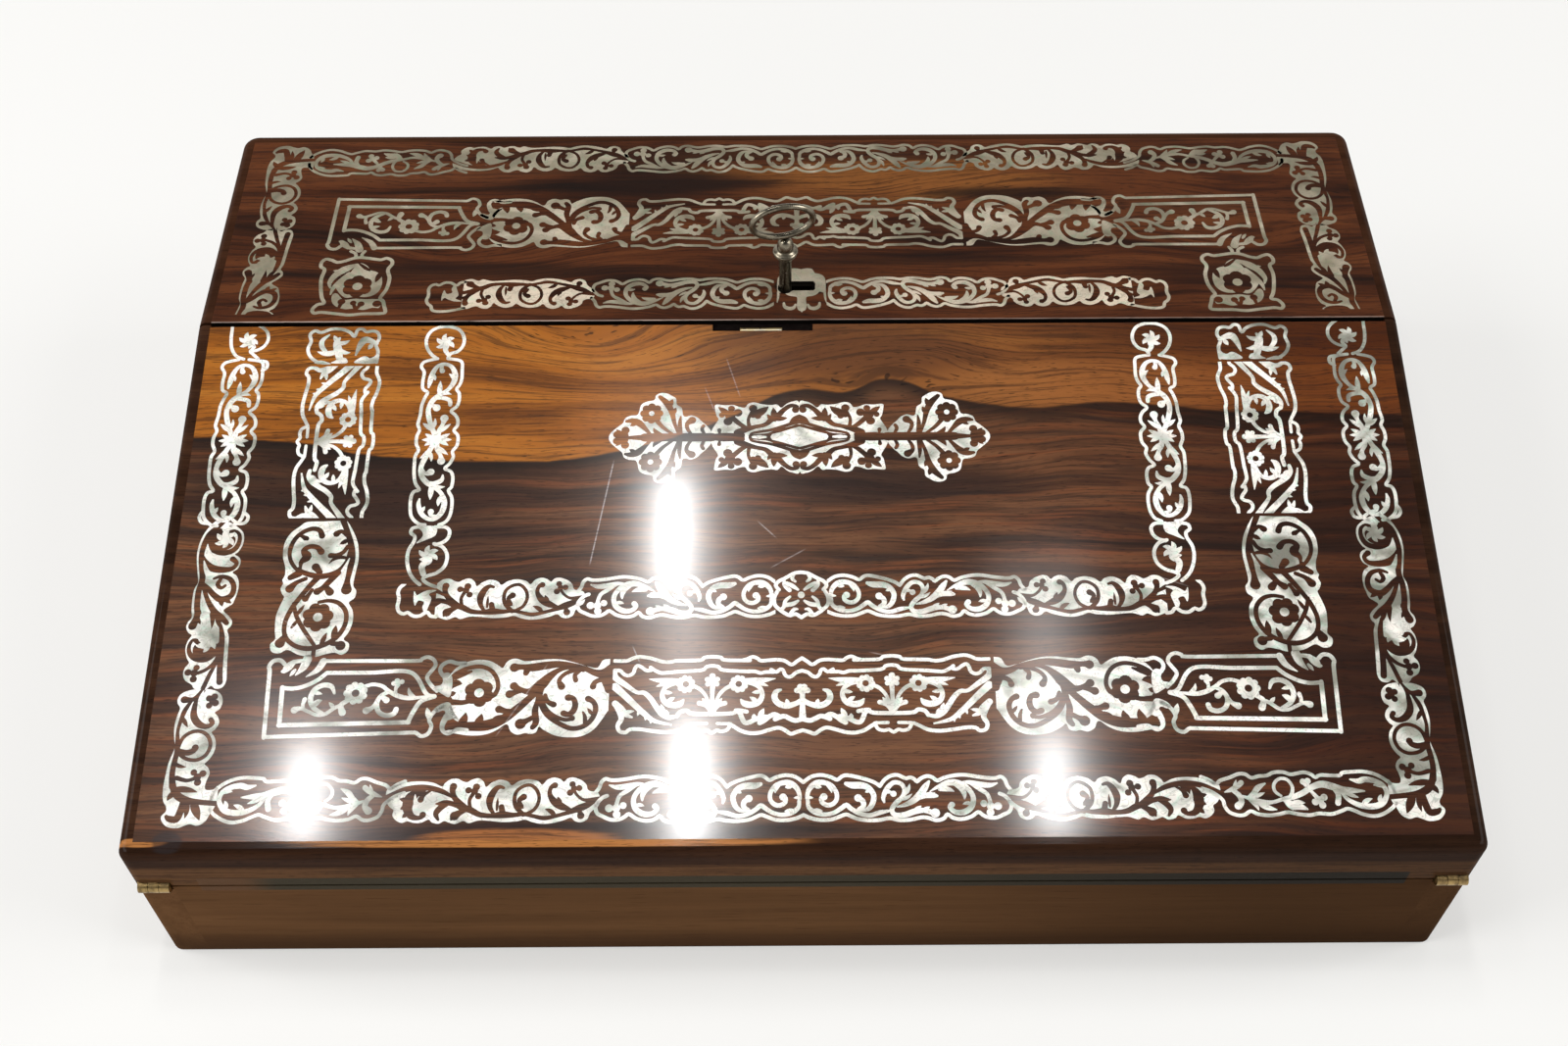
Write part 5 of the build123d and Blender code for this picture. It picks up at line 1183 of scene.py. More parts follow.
# The big scroll of the middle band's side: acanthus spiral above, flower below.
TALL_SCROLL = """
fill: 143.2 108.4, 145 108.4, 150 108.2, 155.6 108, 157.8 106.4, 160.4 104, 161.9 100.4, 161.9 96,
 160.8 92.4, 160.6 89.6, 161.2 88, 160.8 86.8, 161.4 85, 160.6 83, 160 82.2, 161 79, 161.8 75.6, 161.6 71,
 161.2 68.2, 162.5 66.4, 161.8 64, 159.4 63.5, 157 64.6, 153.6 63, 150.2 62.3, 148 62.3, 145.4 63.1,
 142.6 63.6, 140.4 62.9, 138.6 64.2, 138.5 66.6, 140.2 68, 138.9 70.4, 138 74, 138.4 77.6, 139.8 80.2,
 138.2 81.8, 137.9 84.2, 139 86.2, 138.6 91, 138.2 95, 138.8 100, 140.6 104.4
# The ring of wood round the spiral, from the stem at the top left
wood: 144.3 108.6 2, 142.6 104.6 1.8, 141 100 2, 140.3 95.6 2.2, 140.6 91 1.9, 141 87.6 1.8, 141 84.6 3.4
wood: 141 98 1.5, 141.8 94 1.6, 144.4 90.8 1.6, 148.6 89.2 2, 153 89.8 1.8, 156.8 91.6 1.6, 159.2 94.6 1.5,
 159.9 98.4 1.5, 158.8 102 1.5, 156.6 104.4 1.5, 153.8 105.6 1.6, 151.4 105.1 1.7, 150.4 103.1 2
wood: 142.6 103.4 1.6, 144.4 104.7 1.4, 145.9 103.8 2.2
wood leaf: 142.2 101.6, 144.6 100.2, 1.6
wood: 142 99.4 1.4, 143.2 97.4 1.4, 145.2 96.4 1.5, 147 96.3 1.9
wood leaf: 141.8 95.4, 147.4 93.4, 1.4 0.2
wood: 150.1 97.6 2.2, 151.6 99.2 1.7, 154 99.4 1.7, 155.6 98 1.9, 154.4 96 3, 156 94 1.6, 156.2 91.6 1.2
wood: 151.3 92.4 2.6, 149.8 90.6 1.8
wood: 155.3 102.2 1.9, 156.6 103 1.2, 157.6 103.4 0.8
shell: 154.6 100.9 1.2, 157 100.4 1.8, 158.2 98.2 2, 158 95.4 1.8, 156.8 92.4 0.5
# The knot between the rings
shell: 141 95.4 0.3, 142.4 91.6 1.2, 144.4 87.6 1.6, 147 85.4 1.5
wood: 144 90.4 1.8, 146.4 87.6 2, 148.4 85.2 1.8, 150 84 2.4
wood: 147.6 85.8 1.6, 146 83.8 2.6
wood: 150.4 88.6 2, 152.4 86 1.8, 155 82.2 1.6, 157.4 78 1.6, 158.8 73.4 1.5, 158.2 69 1.5, 155 66 1.5,
 150.6 65 1.7, 146 66.2 1.6, 142.4 68.8 1.6, 140.3 72.8 1.5, 140.4 77 1.5, 142.8 80 1.5, 146 80.9 1.3,
 149 80.4 1.2
wood: 151.6 84.6 1.2, 152.6 82.8 1.4, 153.4 81.6 2.2
wood: 156.4 90.2 2.6, 158.8 88.8 1.9
wood: 154 88.4 1.4, 156.8 87 1.6, 158.6 85 2.8
wood: 159.6 66.8 3.2, 158.2 69.4 1.4
wood dots: 141 65.9 1.6
wood: 141 66.4 1.6, 143.6 66.6 1.6
wood: 149 62 1.3, 149 65.2 1.4
wood: 156.8 80 1.2, 155.6 76 1.4, 153.2 71.8 1.4, 150.2 67.6 1.3, 149 66 1.2
wood leaf: 155.4 76.2, 153.4 79.6, 1.3
wood leaf: 156.6 72, 154.6 75, 1.2
wood leaf: 143.4 68.4, 143 72.6, 2
wood leaf: 147 66.4, 145.6 70.2, 1.6
wood flower: 148.9 75.4 4.9 7 1.47 0.3
"""

# The curled piece that closes the middle band's side at the seam.
HEAD_PIECE = """
line 1.15: 139 166.4, 138.9 170.6, 139.8 173.2, 138.9 175.6, 139.6 177.8, 141.4 178.5, 143.4 178.2,
 144.8 179.3, 146.4 178.9, 147.2 176.4, 148.8 178, 151.6 179.2, 155 179.3, 158.4 178, 160.4 178.7,
 162 177.2, 161.4 174.6, 162.1 171.4, 160.8 168.4, 158.2 166.4
shell: 139.4 173.6 1, 141.4 174.6 1.8, 143.6 175 2.6, 145 173 2, 146.2 169 0.5
leaf: 141 173.4, 142.2 171.4, 1.6
fill: 139 166.2, 146.2 166.2, 144.6 168.2, 142.8 168.8, 141.4 168, 140 168.6, 139 169.6
fill: 148.8 166.2, 154 166.2, 152.4 167.4, 151.4 170, 150.4 168.4, 149.2 168
shell: 151.4 168.2 2.2, 152.2 171.4 2.8, 152.8 174 2.2, 152 175.8 0.8
leaf: 152.6 174, 148.6 175, 1.6 0.15
leaf: 151.6 171.4, 148 170.2, 1.6 0.15
leaf: 152.8 174.4, 154 176.8, 1.6
leaf: 152.4 170.6, 158.9 170.6, 2 -0.12
shell: 156 170.4 1.2, 157.6 172.6 1.7, 157.6 175 1.5, 155.4 177.2 0.5
fill: 154 165.8, 157.6 165.8, 159.6 166.4, 157.6 167.2, 155.4 166.6
"""

# Half of the rosette between the two arms of an inner band, about its own centre.
ROSETTE = """
line 1.2: 0 7.7, 2 7.4, 3.8 6.4, 5.2 5.6, 7 4.6, 7.9 3.2, 6.9 1.8
line 1.2: 7.4 1.2, 8.3 -0.8, 8.2 -3.2, 6.6 -5, 5 -6.2, 3.4 -6.9, 1.8 -6.4, 0 -7.6
shell: 5.2 5.4 0.8, 5.2 3.4 1.2, 3.6 1.6 1.4
shell: 4.4 4 1.2, 2.6 3 1.4, 1 1.8 0.8
shell: 2 7 0.6, 2.8 5.6 1.2, 1.8 4.6 0.8
shell: 3.5 -0.6 0.8, 4.9 -2 1.2, 5.4 -4 1.2, 6.4 -5 1.2
shell: 1 -2 0.8, 2.6 -3 1.4, 4.8 -3.4 1.4
shell: 3.4 -6.2 1, 2.2 -4.8 1.2, 1.2 -4.8 0.6
dots: 0 0 1.1
"""

# The upper right quarter of the shield at the flap's middle. Its plaque is plain.
CARTOUCHE_QUARTER = """
fill: 0 12.6, 2 13.1, 4 12.3, 5.8 10.8, 7.2 12, 9 11.8, 12 12.1, 14.6 12.8, 16.6 12.3, 17.6 10.9, 19.6 11.2,
 21.4 11.9, 24 11.8, 27.2 12, 27.3 10.2, 26.8 7.8, 26.2 6.6, 27.4 4.4, 28.2 2.8, 28.3 1.3, 24 1.6, 20 1.4,
 17.6 1.2, 17.7 0, 16 -2, 0 -2, -1 4
# Wood within the block
wood: 1.2 10 2.4, 0.8 11.2 1.4, 2.8 11.5 1.5, 5 10 1.7, 6.8 8 2, 9 6.4 2, 11 4.6 1.6, 14 3.8 1.5,
 17.4 2.8 2.2, 20 1.6 2.6
wood leaf: 8 6.4, 8.4 10.8, 2.3
wood leaf: 8 6.6, 3.9 6.9, 1.8
wood leaf: 8.8 6, 10.4 8.4, 1.6
wood: 0 5.8 1.8, 2.4 4.9 1.3, 6 3.6 1.2, 9.6 2.5 1.1, 13 1.9 1, 15.6 1.2 0.9, 15.9 0 0.9
wood: 0 7.6 1.4, 1.6 6.6 1.7, 2.6 5.2 1.4
wood leaf: 15 8, 10 11.2, 2.8 0.05
wood dots: 15 10.6 1.4, 13.4 7.7 1.1, 14.6 9 1.3
wood: 15.4 9 1.4, 16.5 6.6 1.1, 16.2 3.6 1.4
wood dots: 19.9 9 1.45, 22 10.5 1.15, 25.1 8.2 1, 23.1 5.8 1.5, 22.4 8.2 1.8
wood leaf: 23 8.6, 26.3 11.1, 2
wood: 21.6 7 1.8, 19 4.6 1.6, 16.6 3 1.3
wood: 25.8 1.4 0.8, 25.9 2.6 1.4
# The plaque, the wood line round it and the tongue
wood fill: 0 4.6, 3 3.9, 8 2.4, 10.6 1.4, 16 0.8, 16.4 0, 16 -2, 0 -2, -2 2
plate: 0 3.7, 2.4 3, 5.6 1.9, 8.8 1, 9.3 0.2, 9.3 -1, 0 -1
plate: 10.6 0.3, 13 0.7, 15.2 0.4, 15.6 -0.2, 10.6 -0.4
# The spread of leaves beyond the block
fill: 28.6 2.2, 30.2 4.5, 31.6 5.8, 33 7.3, 35 8.1, 36.8 7.6, 37.7 8.2, 38.2 10.9, 39.8 12.2, 40.1 14.4,
 41.4 15.4, 43 16.3, 45 16.5, 46.6 15.7, 47.2 13.9, 49.6 13.3, 51.4 12.1, 52 9.6, 52.7 8.3, 54.6 8.1,
 56.4 7.2, 57.1 5.4, 58.8 3.9, 60.8 1.9, 61.5 0, 60 -1, 51 -1, 50.6 1.4, 40 1.4, 30 1.4
wood: 28 0 3, 40 0 3.1, 50 0 2.2, 55 0 1.2
wood: 34.7 6.3 2.6, 36.3 5 1.5, 36.2 3.2 1.3, 35 1.2 1
wood: 31 4.2 1.2, 31.5 3 1.3, 30.8 1.4 1
wood: 38.4 7.9 0.5, 38.7 5 1.4, 38.4 1.2 1.4
wood: 39 1.2 1, 40.4 5.2 1.3, 41.4 9.4 1.9, 43 12.6 2.2, 45.3 15 1.4
wood leaf: 41.2 8.6, 40 11, 1.8
wood leaf: 42.2 11.4, 41.2 14.2, 1.8
wood flower: 47.9 8.9 3.8 8 0.9
wood: 46.2 6.2 1.6, 44 3.6 1.3, 41 1.2 1
wood leaf: 44.8 1.2, 47.2 3.6, 1.6 -0.15
wood: 48 1 1, 50 3.4 1.6, 52 5.4 2.4, 54.2 6.2 1.9, 56 6 1
wood leaf: 52.8 5.4, 54.8 4.3, 1.5
wood dots: 56.2 2.7 1.35, 58.9 1.2 1.3, 57 0.6 1.9
wood leaf: 57 1, 59.2 3, 1.4
"""

# The square shield at the foot of the lid's middle band: a flower in a curled leaf.
CORNER_SHIELD = """
loop 1.3: 138.5 27.4, 138.9 29.2, 140.7 30.2, 142.8 29.5, 146.6 30.2, 149.8 30.6, 152.4 30.1, 155 28.9,
 157.4 28.4, 159.4 29.4, 161.4 29.9, 162.7 28.4, 162.6 26.2, 161.2 24.8, 161.7 20.6, 161.2 16, 160.3 11.9,
 159.2 9.2, 161.3 8.5, 162.7 6.2, 161.8 4.6, 159.6 5, 154.4 4.3, 149.9 3.7, 145.3 4.2, 139.6 4.3, 138.1 5,
 138.9 8, 139.5 10.1, 140.6 11.5, 139 15.6, 138.6 20.6, 139.6 24.6
fill: 149.9 27.8, 146.9 26.6, 145.6 24.6, 143.6 23.8, 141.6 22, 140.8 18.4, 141.4 14.8, 143.4 12.6,
 146 11.9, 149 12.2, 152 11.6, 154 13, 155.6 15.2, 156.2 17, 154.4 20, 152.4 23.2
fill: 140.2 10.4, 142.6 11, 145.6 10.9, 149 11.2, 152.8 10.8, 155.4 13.6, 156.8 13.2, 156.9 10.6, 155.4 8,
 152 6.4, 149 6.6, 145.6 6, 142.6 7, 140.4 7
shell: 150.6 27.2 1, 154 25.2 2.8, 157 22.4 2.4, 158.6 18.8 1.6, 158 16 0.5
leaf: 155.4 24, 158.2 24.4, 1.2
shell: 152.6 23 1.4, 155 19.6 1.8, 157 16.2 1.5, 157.6 13 0.5
wood: 149.6 27.6 0.8, 147.4 25.6 1.4, 145.8 24.4 0.8
wood leaf: 141.8 23.4, 143.2 18.8, 2
wood flower: 149 16.9 5.2 6 1.7 0.5
wood dots: 141.4 8.8 1.5, 146.7 8.7 1.2, 149.4 9.2 1.1, 153.4 9.8 1.35
wood: 146.9 8.4 1.4, 148.2 6.6 1.4, 149.2 8.8 1.2
wood: 153.4 9.4 1.5, 153.8 7.4 1.2
line 1.2: 149.2 30.8, 149.4 32, 148.6 33.6
line 1.2: 151.4 30.4, 151.6 32.4, 153.4 33.6
"""

# Half of the shell shield round the keyhole, with the curl below it.
KEYHOLE_SHIELD = """
fill: 0 24, 2 24.4, 4 24.2, 4.9 23, 5.4 22.1, 7.2 21.7, 8.7 20.6, 9.4 18.6, 9.4 14, 8.6 13, 7 13.4, 6 12.3,
 4.4 11.5, 2.6 11.2, 1.8 10.8, 1.7 9, 1.9 7, 1.5 5.2, 0.6 4.6, -1 5, -1 24
shell: 9 14 0.9, 9.1 11 0.9, 9.5 8.4 0.3
shell: 2.4 7.4 0.9, 3.2 6 1.4, 5 5.7 1.6, 6.6 6.6 1.4, 6.9 8.2 0.9
"""

# The scalloped end of an inner band.
END_LOBE = """
line 1.15: 112.6 -6.5, 114.2 -6.2, 115.5 -4.9, 117.4 -6.1, 119.5 -6.2, 121.4 -5, 122.5 -5.5, 124 -4.8,
 124.7 -3.1, 124.5 -1.3, 124.5 0.2, 124.9 1.7, 124.4 3.4, 123.1 4.7, 122.7 6.2, 121.4 7, 118.5 7.1,
 115.5 6.6, 112 5.6
fill: 116 -5.3, 117 -3.3, 116.6 -1.6, 118.4 -1, 119.3 -2.7, 119.9 -0.8, 119.9 2.2, 119 0.8, 117.6 1.6,
 115.5 2.5, 113 2.4, 115.2 1.2, 114.4 -0.4, 115.2 -3.3
"""

# The two knobs that join the corner frame to the ring of the flower.
JOINT_KNOBS = """
line 1.25: 102.4 10.9, 104.8 10.9, 107.2 11.5, 109.3 10.4, 109.9 8.6, 109 7
fill: 106.5 0, 105.9 3, 106.1 6.4, 107.4 7.9, 109.3 7.2, 108.8 5.4, 109.3 3.9, 111.2 3.4, 110.6 2.3,
 108.6 0.9
fill: 106.2 -1.9, 108.5 -2.1, 110.8 -3.8, 109.8 -4.9, 108.3 -4.3, 107.3 -4.8, 107.7 -6.8, 106.2 -7.4,
 104.8 -6.9, 103 -7.4, 104.7 -5
shell: 106.9 -6.2 1.9, 107.9 -8.6 1.6, 107.8 -10.5 1.3, 106.3 -11.6 1.2, 104.6 -11 1.2, 103.2 -10.3 1.2,
 100.5 -10.6 1.2
"""

# The ring at the foot of an inner side band, where it joins the band along the front.
FOOT_ROUNDEL = """
line 1.15: -1.8 11, -5 11, -6.5 9.6, -6.2 7.2, -4.6 5.6, -2.4 4.9
line 1.15: -2 5.2, -4.8 4, -6.4 1, -5.8 -2.6, -3.4 -4.9, -0.6 -5.9, 0.6 -7, -1.2 -8.6, -3.6 -9.6
line 1.15: 3.6 11, 5.2 10.6, 5.6 9, 4.3 7.8, 4.4 6, 5.8 3, 6 -0.6, 5 -4.4, 3.4 -7, 1.4 -8.8
fill: -2 11.2, 3.6 11.2, 2.2 9.6, 1.8 7.8, 3.6 5.4, 0.6 6.6, -2.2 8.2
claw: -0.6 1.2 1 70
shell: -0.4 -0.6 2, 1.2 -2.6 2, 0.6 -5.2 1.8
"""


# Cutting the shell to the drawn lines and letting it into the veneer

SHELL_PROUD, SHELL_SUNK = 0.03, 0.4
VENEER_SUNK = 1.0
VENEER_EDGE = 4.5
FLAP_END = (SEAM_Y - SEAM_HALF_GAP - FRONT_Y) / math.cos(SLOPE)
LID_END = 89.2


def clipped(outline, axis, limit, keep_above):
    """The part of an outline on one side of a line."""
    sign = 1 if keep_above else -1
    out = []
    for k, p in enumerate(outline):
        q = outline[(k + 1) % len(outline)]
        a, b = sign * (p[axis] - limit), sign * (q[axis] - limit)
        if a >= 0:
            out.append(p)
        if a * b < 0:
            share = a / (a - b)
            out.append((p[0] + (q[0] - p[0]) * share, p[1] + (q[1] - p[1]) * share))
    return out


def turning(outline):
    """Twice the area inside an outline, positive where it runs anticlockwise."""
    return sum(p[0] * q[1] - q[0] * p[1] for p, q in zip(outline, outline[1:] + outline[:1]))


def placed(art, spot, limits=()):
    """A motif's outlines moved to their place. Each limit is an axis, a value and the side that is kept."""
    shapes = []
    for shell, outline in art.shapes:
        for axis, limit, keep_above in limits:
            outline = clipped(outline, axis, limit, keep_above)
            if len(outline) < 3:
                break
        if len(outline) > 2:
            shapes.append((shell, [spot(*p) for p in outline]))
            if turning(shapes[-1][1]) < 0:
                shapes[-1][1].reverse()
    return shapes


def cut_out(shapes):
    """The area left as shell once all the outlines are laid over one another, as merged flat faces."""
    points, faces = [], []
    for _, outline in shapes:
        faces.append(list(range(len(points), len(points) + len(outline))))
        points += [Vector(p) for p in outline]
    spots, _, pieces, _, _, owners = delaunay_2d_cdt(points, [], faces, 1, 1e-4, True)
    work = bmesh.new()
    made = [work.verts.new((*p, 0.0)) for p in spots]
    for piece, owner in zip(pieces, owners):
        if owner and shapes[max(owner)][0]:
            work.faces.new([made[k] for k in piece])
    bmesh.ops.delete(work, geom=[v for v in work.verts if not v.link_faces], context="VERTS")
    bmesh.ops.dissolve_limit(work, angle_limit=0.02, verts=work.verts, edges=work.edges)
    bmesh.ops.triangulate(work, faces=work.faces)
    return work


def let_in(name, groups, face, replaced, body, look, proud=SHELL_PROUD, sunk=SHELL_SUNK):
    """Makes one thin closed piece from groups of outlines. Each group has its own shade of shell."""
    vertices, faces, tones = [], [], []
    for tone, shapes in groups:
        work = cut_out(shapes)
        bmesh.ops.recalc_face_normals(work, faces=work.faces)
        if sum(f.normal.z * f.calc_area() for f in work.faces) < 0:
            bmesh.ops.reverse_faces(work, faces=work.faces)
        lower = bmesh.ops.extrude_face_region(work, geom=work.faces[:])["geom"]
        raised = {v for v in lower if isinstance(v, bmesh.types.BMVert)}
        first = len(vertices)
        for k, v in enumerate(work.verts):
            v.index = k
            vertices.append(face(v.co.x, v.co.y, proud if v in raised else -sunk))
            tones.append(tone)
        faces += [[first + v.index for v in f.verts] for f in work.faces]
        work.free()
    data = bpy.data.meshes.new(name)
    data.from_pydata(vertices, [], faces)
    data.attributes.new("tone", "FLOAT", "POINT").data.foreach_set("value", tones)
    data.materials.append(look.material)
    piece = bpy.data.objects.new(name, data)
    scene.collection.objects.link(piece)
    work = bmesh.new()
    work.from_mesh(data)
    bmesh.ops.recalc_face_normals(work, faces=work.faces)
    work.to_mesh(data)
    work.free()
    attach(piece, body)
    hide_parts(replaced)


def laid(rows, up=1):
    """Groups of outlines: motifs on the right and their mirror images on the left.

    Each row is a motif, its place across and along, its limits, and the tone of its shell on the
    right and on the left. With up as -1 the motifs are turned upside down.
    """
    groups = []
    for art, x, t, limits, tone, left_tone in rows:
        groups.append((tone, placed(art, lambda u, v: (x + u, t + up * v), limits)))
        groups.append((left_tone, placed(art, lambda u, v: (-x - u, t + up * v), limits)))
    return groups


# A frame's edge from its middle, and where the middles of its two kinds lie
FRAME_REACH = 29.2
FRAME_EDGE_X, FRAME_MIDDLE_X = 57, 27.2
TALL_FRAME_PLACE = (150, 136.9)


def with_spray(art, middle):
    """Adds the spray with two flowers that stands in a frame."""
    return art.draw(SPRAY_HALF, middle, -1).draw(SPRAY_HALF, middle).draw(SPRAY_HEART, middle)


def tall_frame():
    """The wavy frame with its spray that stands upright in the middle band's sides."""
    flat = with_spray(Drawing().draw(FRAME_END, FRAME_REACH).draw(FRAME_MIDDLE), 0)
    for shell, outline in Drawing().draw(FRAME_END, FRAME_REACH).shapes:
        flat.shapes.append((shell, [(-x, y) for x, y in outline][::-1]))
    upright = Drawing()
    x, t = TALL_FRAME_PLACE
    upright.shapes = [(shell, [(x - v, t + u) for u, v in outline]) for shell, outline in flat.shapes]
    return upright


scroll, knot, loop = Drawing(OUTER_SCROLL), Drawing(OUTER_KNOT), Drawing(OUTER_FLOWER)
corner, side_leaves, knobs = Drawing(CORNER_SCROLL), Drawing(SIDE_SCROLL), Drawing(JOINT_KNOBS)
acanthus, pointed_frame, lobe = Drawing(FLOWER_AND_ACANTHUS), Drawing(CORNER_FRAME), Drawing(END_LOBE)
half_frame = Drawing().draw(FRAME_END, FRAME_EDGE_X).draw(FRAME_MIDDLE, FRAME_MIDDLE_X).draw(CENTRE_LINES)
with_spray(half_frame, FRAME_MIDDLE_X).draw(CENTRE_CURL)

# The middle of the outer side bands and of the inner ones, and where both end at the seam
OUTER_X, INNER_X, SIDE_T = 182.5, 117, 137
# The middles of the bands that run across: up the flap from its front, and on the lid from the seam
FLAP_OUTER, FLAP_MIDDLE, FLAP_INNER = 17, 49, 81.8
LID_OUTER, LID_MIDDLE, LID_INNER = 79.2, 47, 12.6
FROM_MIDDLE = (0, 0.0, True)
TO_SEAM = (1, 43.4, False)
FRAME_PART, ACANTHUS_PART = (0, 57.4, False), (0, 58.4, True)

quarter = [(Drawing(CARTOUCHE_QUARTER), 0, 137.7, [FROM_MIDDLE, (1, 0.0, True)], 0.95, 0.95)]
flap_groups = {
    "flap_outer_inlay": laid(
        [
            (scroll, 0, FLAP_OUTER, [FROM_MIDDLE], 1.0, 1.0),
            (knot, 60, FLAP_OUTER, (), 0.75, 1.0),
            (loop, 118, 16, (), 0.55, 0.7),
            (corner, OUTER_X, 30, (), 0.6, 0.8),
            (side_leaves, OUTER_X, 80, (), 0.35, 0.75),
            (Drawing(PALMETTE_LINES, PALMETTE_EARS, PALMETTE_LEAVES), OUTER_X, SIDE_T, (), 0.5, 0.65),
            (Drawing(OPEN_ROUNDEL), OUTER_X, SIDE_T, [TO_SEAM], 0.45, 0.7),
        ]
    ),
    "flap_middle_inlay": laid(
        [
            (half_frame, 0, FLAP_MIDDLE, [FROM_MIDDLE, FRAME_PART], 0.95, 0.95),
            (acanthus, 0, FLAP_MIDDLE, [ACANTHUS_PART], 0.9, 1.0),
            (pointed_frame, 0, FLAP_MIDDLE, (), 0.75, 0.6),
            (knobs, 0, FLAP_MIDDLE, (), 1.0, 0.3),
            (Drawing(TALL_SCROLL), 0, 0, (), 0.6, 0.8),
            (tall_frame(), 0, 0, [(1, 109.4, True), (1, 165.0, False)], 0.95, 0.9),
            (Drawing(HEAD_PIECE), 0, 0, (), 0.45, 0.65),
        ]
    ),
    "flap_inner_inlay": laid(
        [
            (Drawing(ROSETTE), 0, 82, [FROM_MIDDLE], 1.0, 1.0),
            (scroll, 8, FLAP_INNER, [FROM_MIDDLE], 0.95, 1.0),
            (knot, 67, FLAP_INNER, [(0, 46, False)], 0.85, 1.0),
            (lobe, 0, FLAP_INNER, [(1, 4.6, False)], 0.8, 1.0),
            (Drawing(FOOT_ROUNDEL), INNER_X, 95, (), 0.8, 0.8),
            (Drawing(PALMETTE_LINES, PALMETTE_LEAVES), INNER_X, SIDE_T, (), 1.0, 0.9),
            (Drawing(CLOSED_ROUNDEL), INNER_X, SIDE_T, [TO_SEAM], 0.9, 0.9),
        ]
    ),
    "flap_cartouche": laid(quarter) + laid(quarter, -1),
}

# The shield's own middle and stretch, and the keyhole: its round part and its slot
SHIELD_X, SHIELD_WIDE = 1.25, 0.87
HOLE_RADIUS, SLOT_FRONT, SLOT_BACK, SLOT_CORNER = 2.6, 14.0, 18.3, (0.6, 0.7)
half_shield, shield = Drawing(KEYHOLE_SHIELD), []
for wide in (SHIELD_WIDE, -SHIELD_WIDE):
    shield += placed(half_shield, lambda u, v: (SHIELD_X + wide * u, v), [FROM_MIDDLE])
slot_shape = [
    (KEY_X, SLOT_FRONT),
    (SLOT_END - SLOT_CORNER[0], SLOT_FRONT),
    (SLOT_END, SLOT_FRONT + SLOT_CORNER[1]),
    (SLOT_END, SLOT_BACK - SLOT_CORNER[1]),
    (SLOT_END - SLOT_CORNER[0], SLOT_BACK),
    (KEY_X, SLOT_BACK),
]
hole = [(False, disc(KEY_X, KEY_T, HOLE_RADIUS, 24)), (False, slot_shape)]

# The lid's shell has low tones, painted shade: the flat lid is the shaded copy of the flap's shell
lid_groups = {
    "lid_outer_inlay": laid(
        [
            (scroll, 0, LID_OUTER, [FROM_MIDDLE], 0.2, 0.2),
            (knot, 60, LID_OUTER, (), 0.35, 0.35),
            (loop, 118, 79.4, (), 0.15, 0.15),
            (corner, OUTER_X, 66, (), 0.2, 0.2),
            (side_leaves, OUTER_X, 16.4, [(1, 12.2, False)], 0.3, 0.3),
        ],
        -1,
    ),
    "lid_middle_inlay": laid(
        [
            (half_frame, 0, LID_MIDDLE, [FROM_MIDDLE, FRAME_PART], 0.25, 0.25),
            (acanthus, 0, LID_MIDDLE, [ACANTHUS_PART], 0.45, 0.45),
            (pointed_frame, 0, LID_MIDDLE, (), 0.3, 0.3),
            (knobs, 0, LID_MIDDLE, (), 0.3, 0.3),
        ],
        -1,
    )
    + laid([(Drawing(CORNER_SHIELD), 0, 0, (), 0.35, 0.35)]),
    "lid_inner_inlay": laid(
        [
            (scroll, 9.6, LID_INNER, [FROM_MIDDLE], 0.65, 0.65),
            (knot, 68.6, LID_INNER, [(0, 44.4, False)], 0.85, 0.85),
            (lobe, 0, 12.2, (), 0.6, 0.3),
        ],
        -1,
    ),
    "key_escutcheon": [(0.45, shield + hole)],
}
# The scroll at the keyhole's left stands nearer to the middle than its mirror image, and is darker
left_scroll = placed(scroll, lambda u, v: (-8.1 - u, LID_INNER - v), [FROM_MIDDLE])
lid_groups["lid_inner_inlay"][1] = (0.3, left_scroll)

# Painted shade: the lid's shell is a darker, greyer copy of the flap's
shell_with_painted_shade = mother_of_pearl("mother_of_pearl_with_painted_shade", 0.5, (0.74, 0.65, 0.55))
for name, groups in flap_groups.items():
    let_in("shell_of_" + name, groups, on_flap, name, "flap", looks["mother_of_pearl"])
for name, groups in lid_groups.items():
    let_in("shell_of_" + name, groups, on_lid, name, "lid", shell_with_painted_shade)


def sheet(side, near, far):
    """A rectangle of veneer, out to the same distance on both sides."""
    return [(True, [(-side, near), (side, near), (side, far), (-side, far)])]


# The two veneers, whole, with only their openings
SIDE = HALF_WIDTH - VENEER_EDGE
# The strip at the flap's rear edge that is black painted shade instead, for the shade in the seam
SHADE_STRIP = 0.8
NOTCH_LEFT, NOTCH_RIGHT, NOTCH_T = -28.5, 4.8, FLAP_END - 3.3
NOTCH_BACK = FLAP_END + 1
notch = [(NOTCH_LEFT, NOTCH_T), (NOTCH_RIGHT, NOTCH_T), (NOTCH_RIGHT, NOTCH_BACK), (NOTCH_LEFT, NOTCH_BACK)]
flap_sheet = [*sheet(SIDE, VENEER_EDGE / math.cos(SLOPE), FLAP_END - SHADE_STRIP), (False, notch)]
lid_sheet = sheet(SIDE, SEAM_HALF_GAP, LID_END) + hole
for name, shapes, face, body, look in (
    ("figured_sheet_of_the_flap", flap_sheet, on_flap, "flap", flap_veneer()),
    ("figured_sheet_of_the_lid", lid_sheet, on_lid, "lid", lid_veneer()),
):
    let_in(name, [(0, shapes)], face, body + "_veneer", body, look, 0.0, VENEER_SUNK)


# Small pieces at the seam, and the key


def finished(piece, work, look, body):
    """Gives a piece its shape and its look, and lets it ride on its body."""
    work.to_mesh(piece.data)
    work.free()
    piece.data.materials.append(look.material)
    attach(piece, body)
    return piece


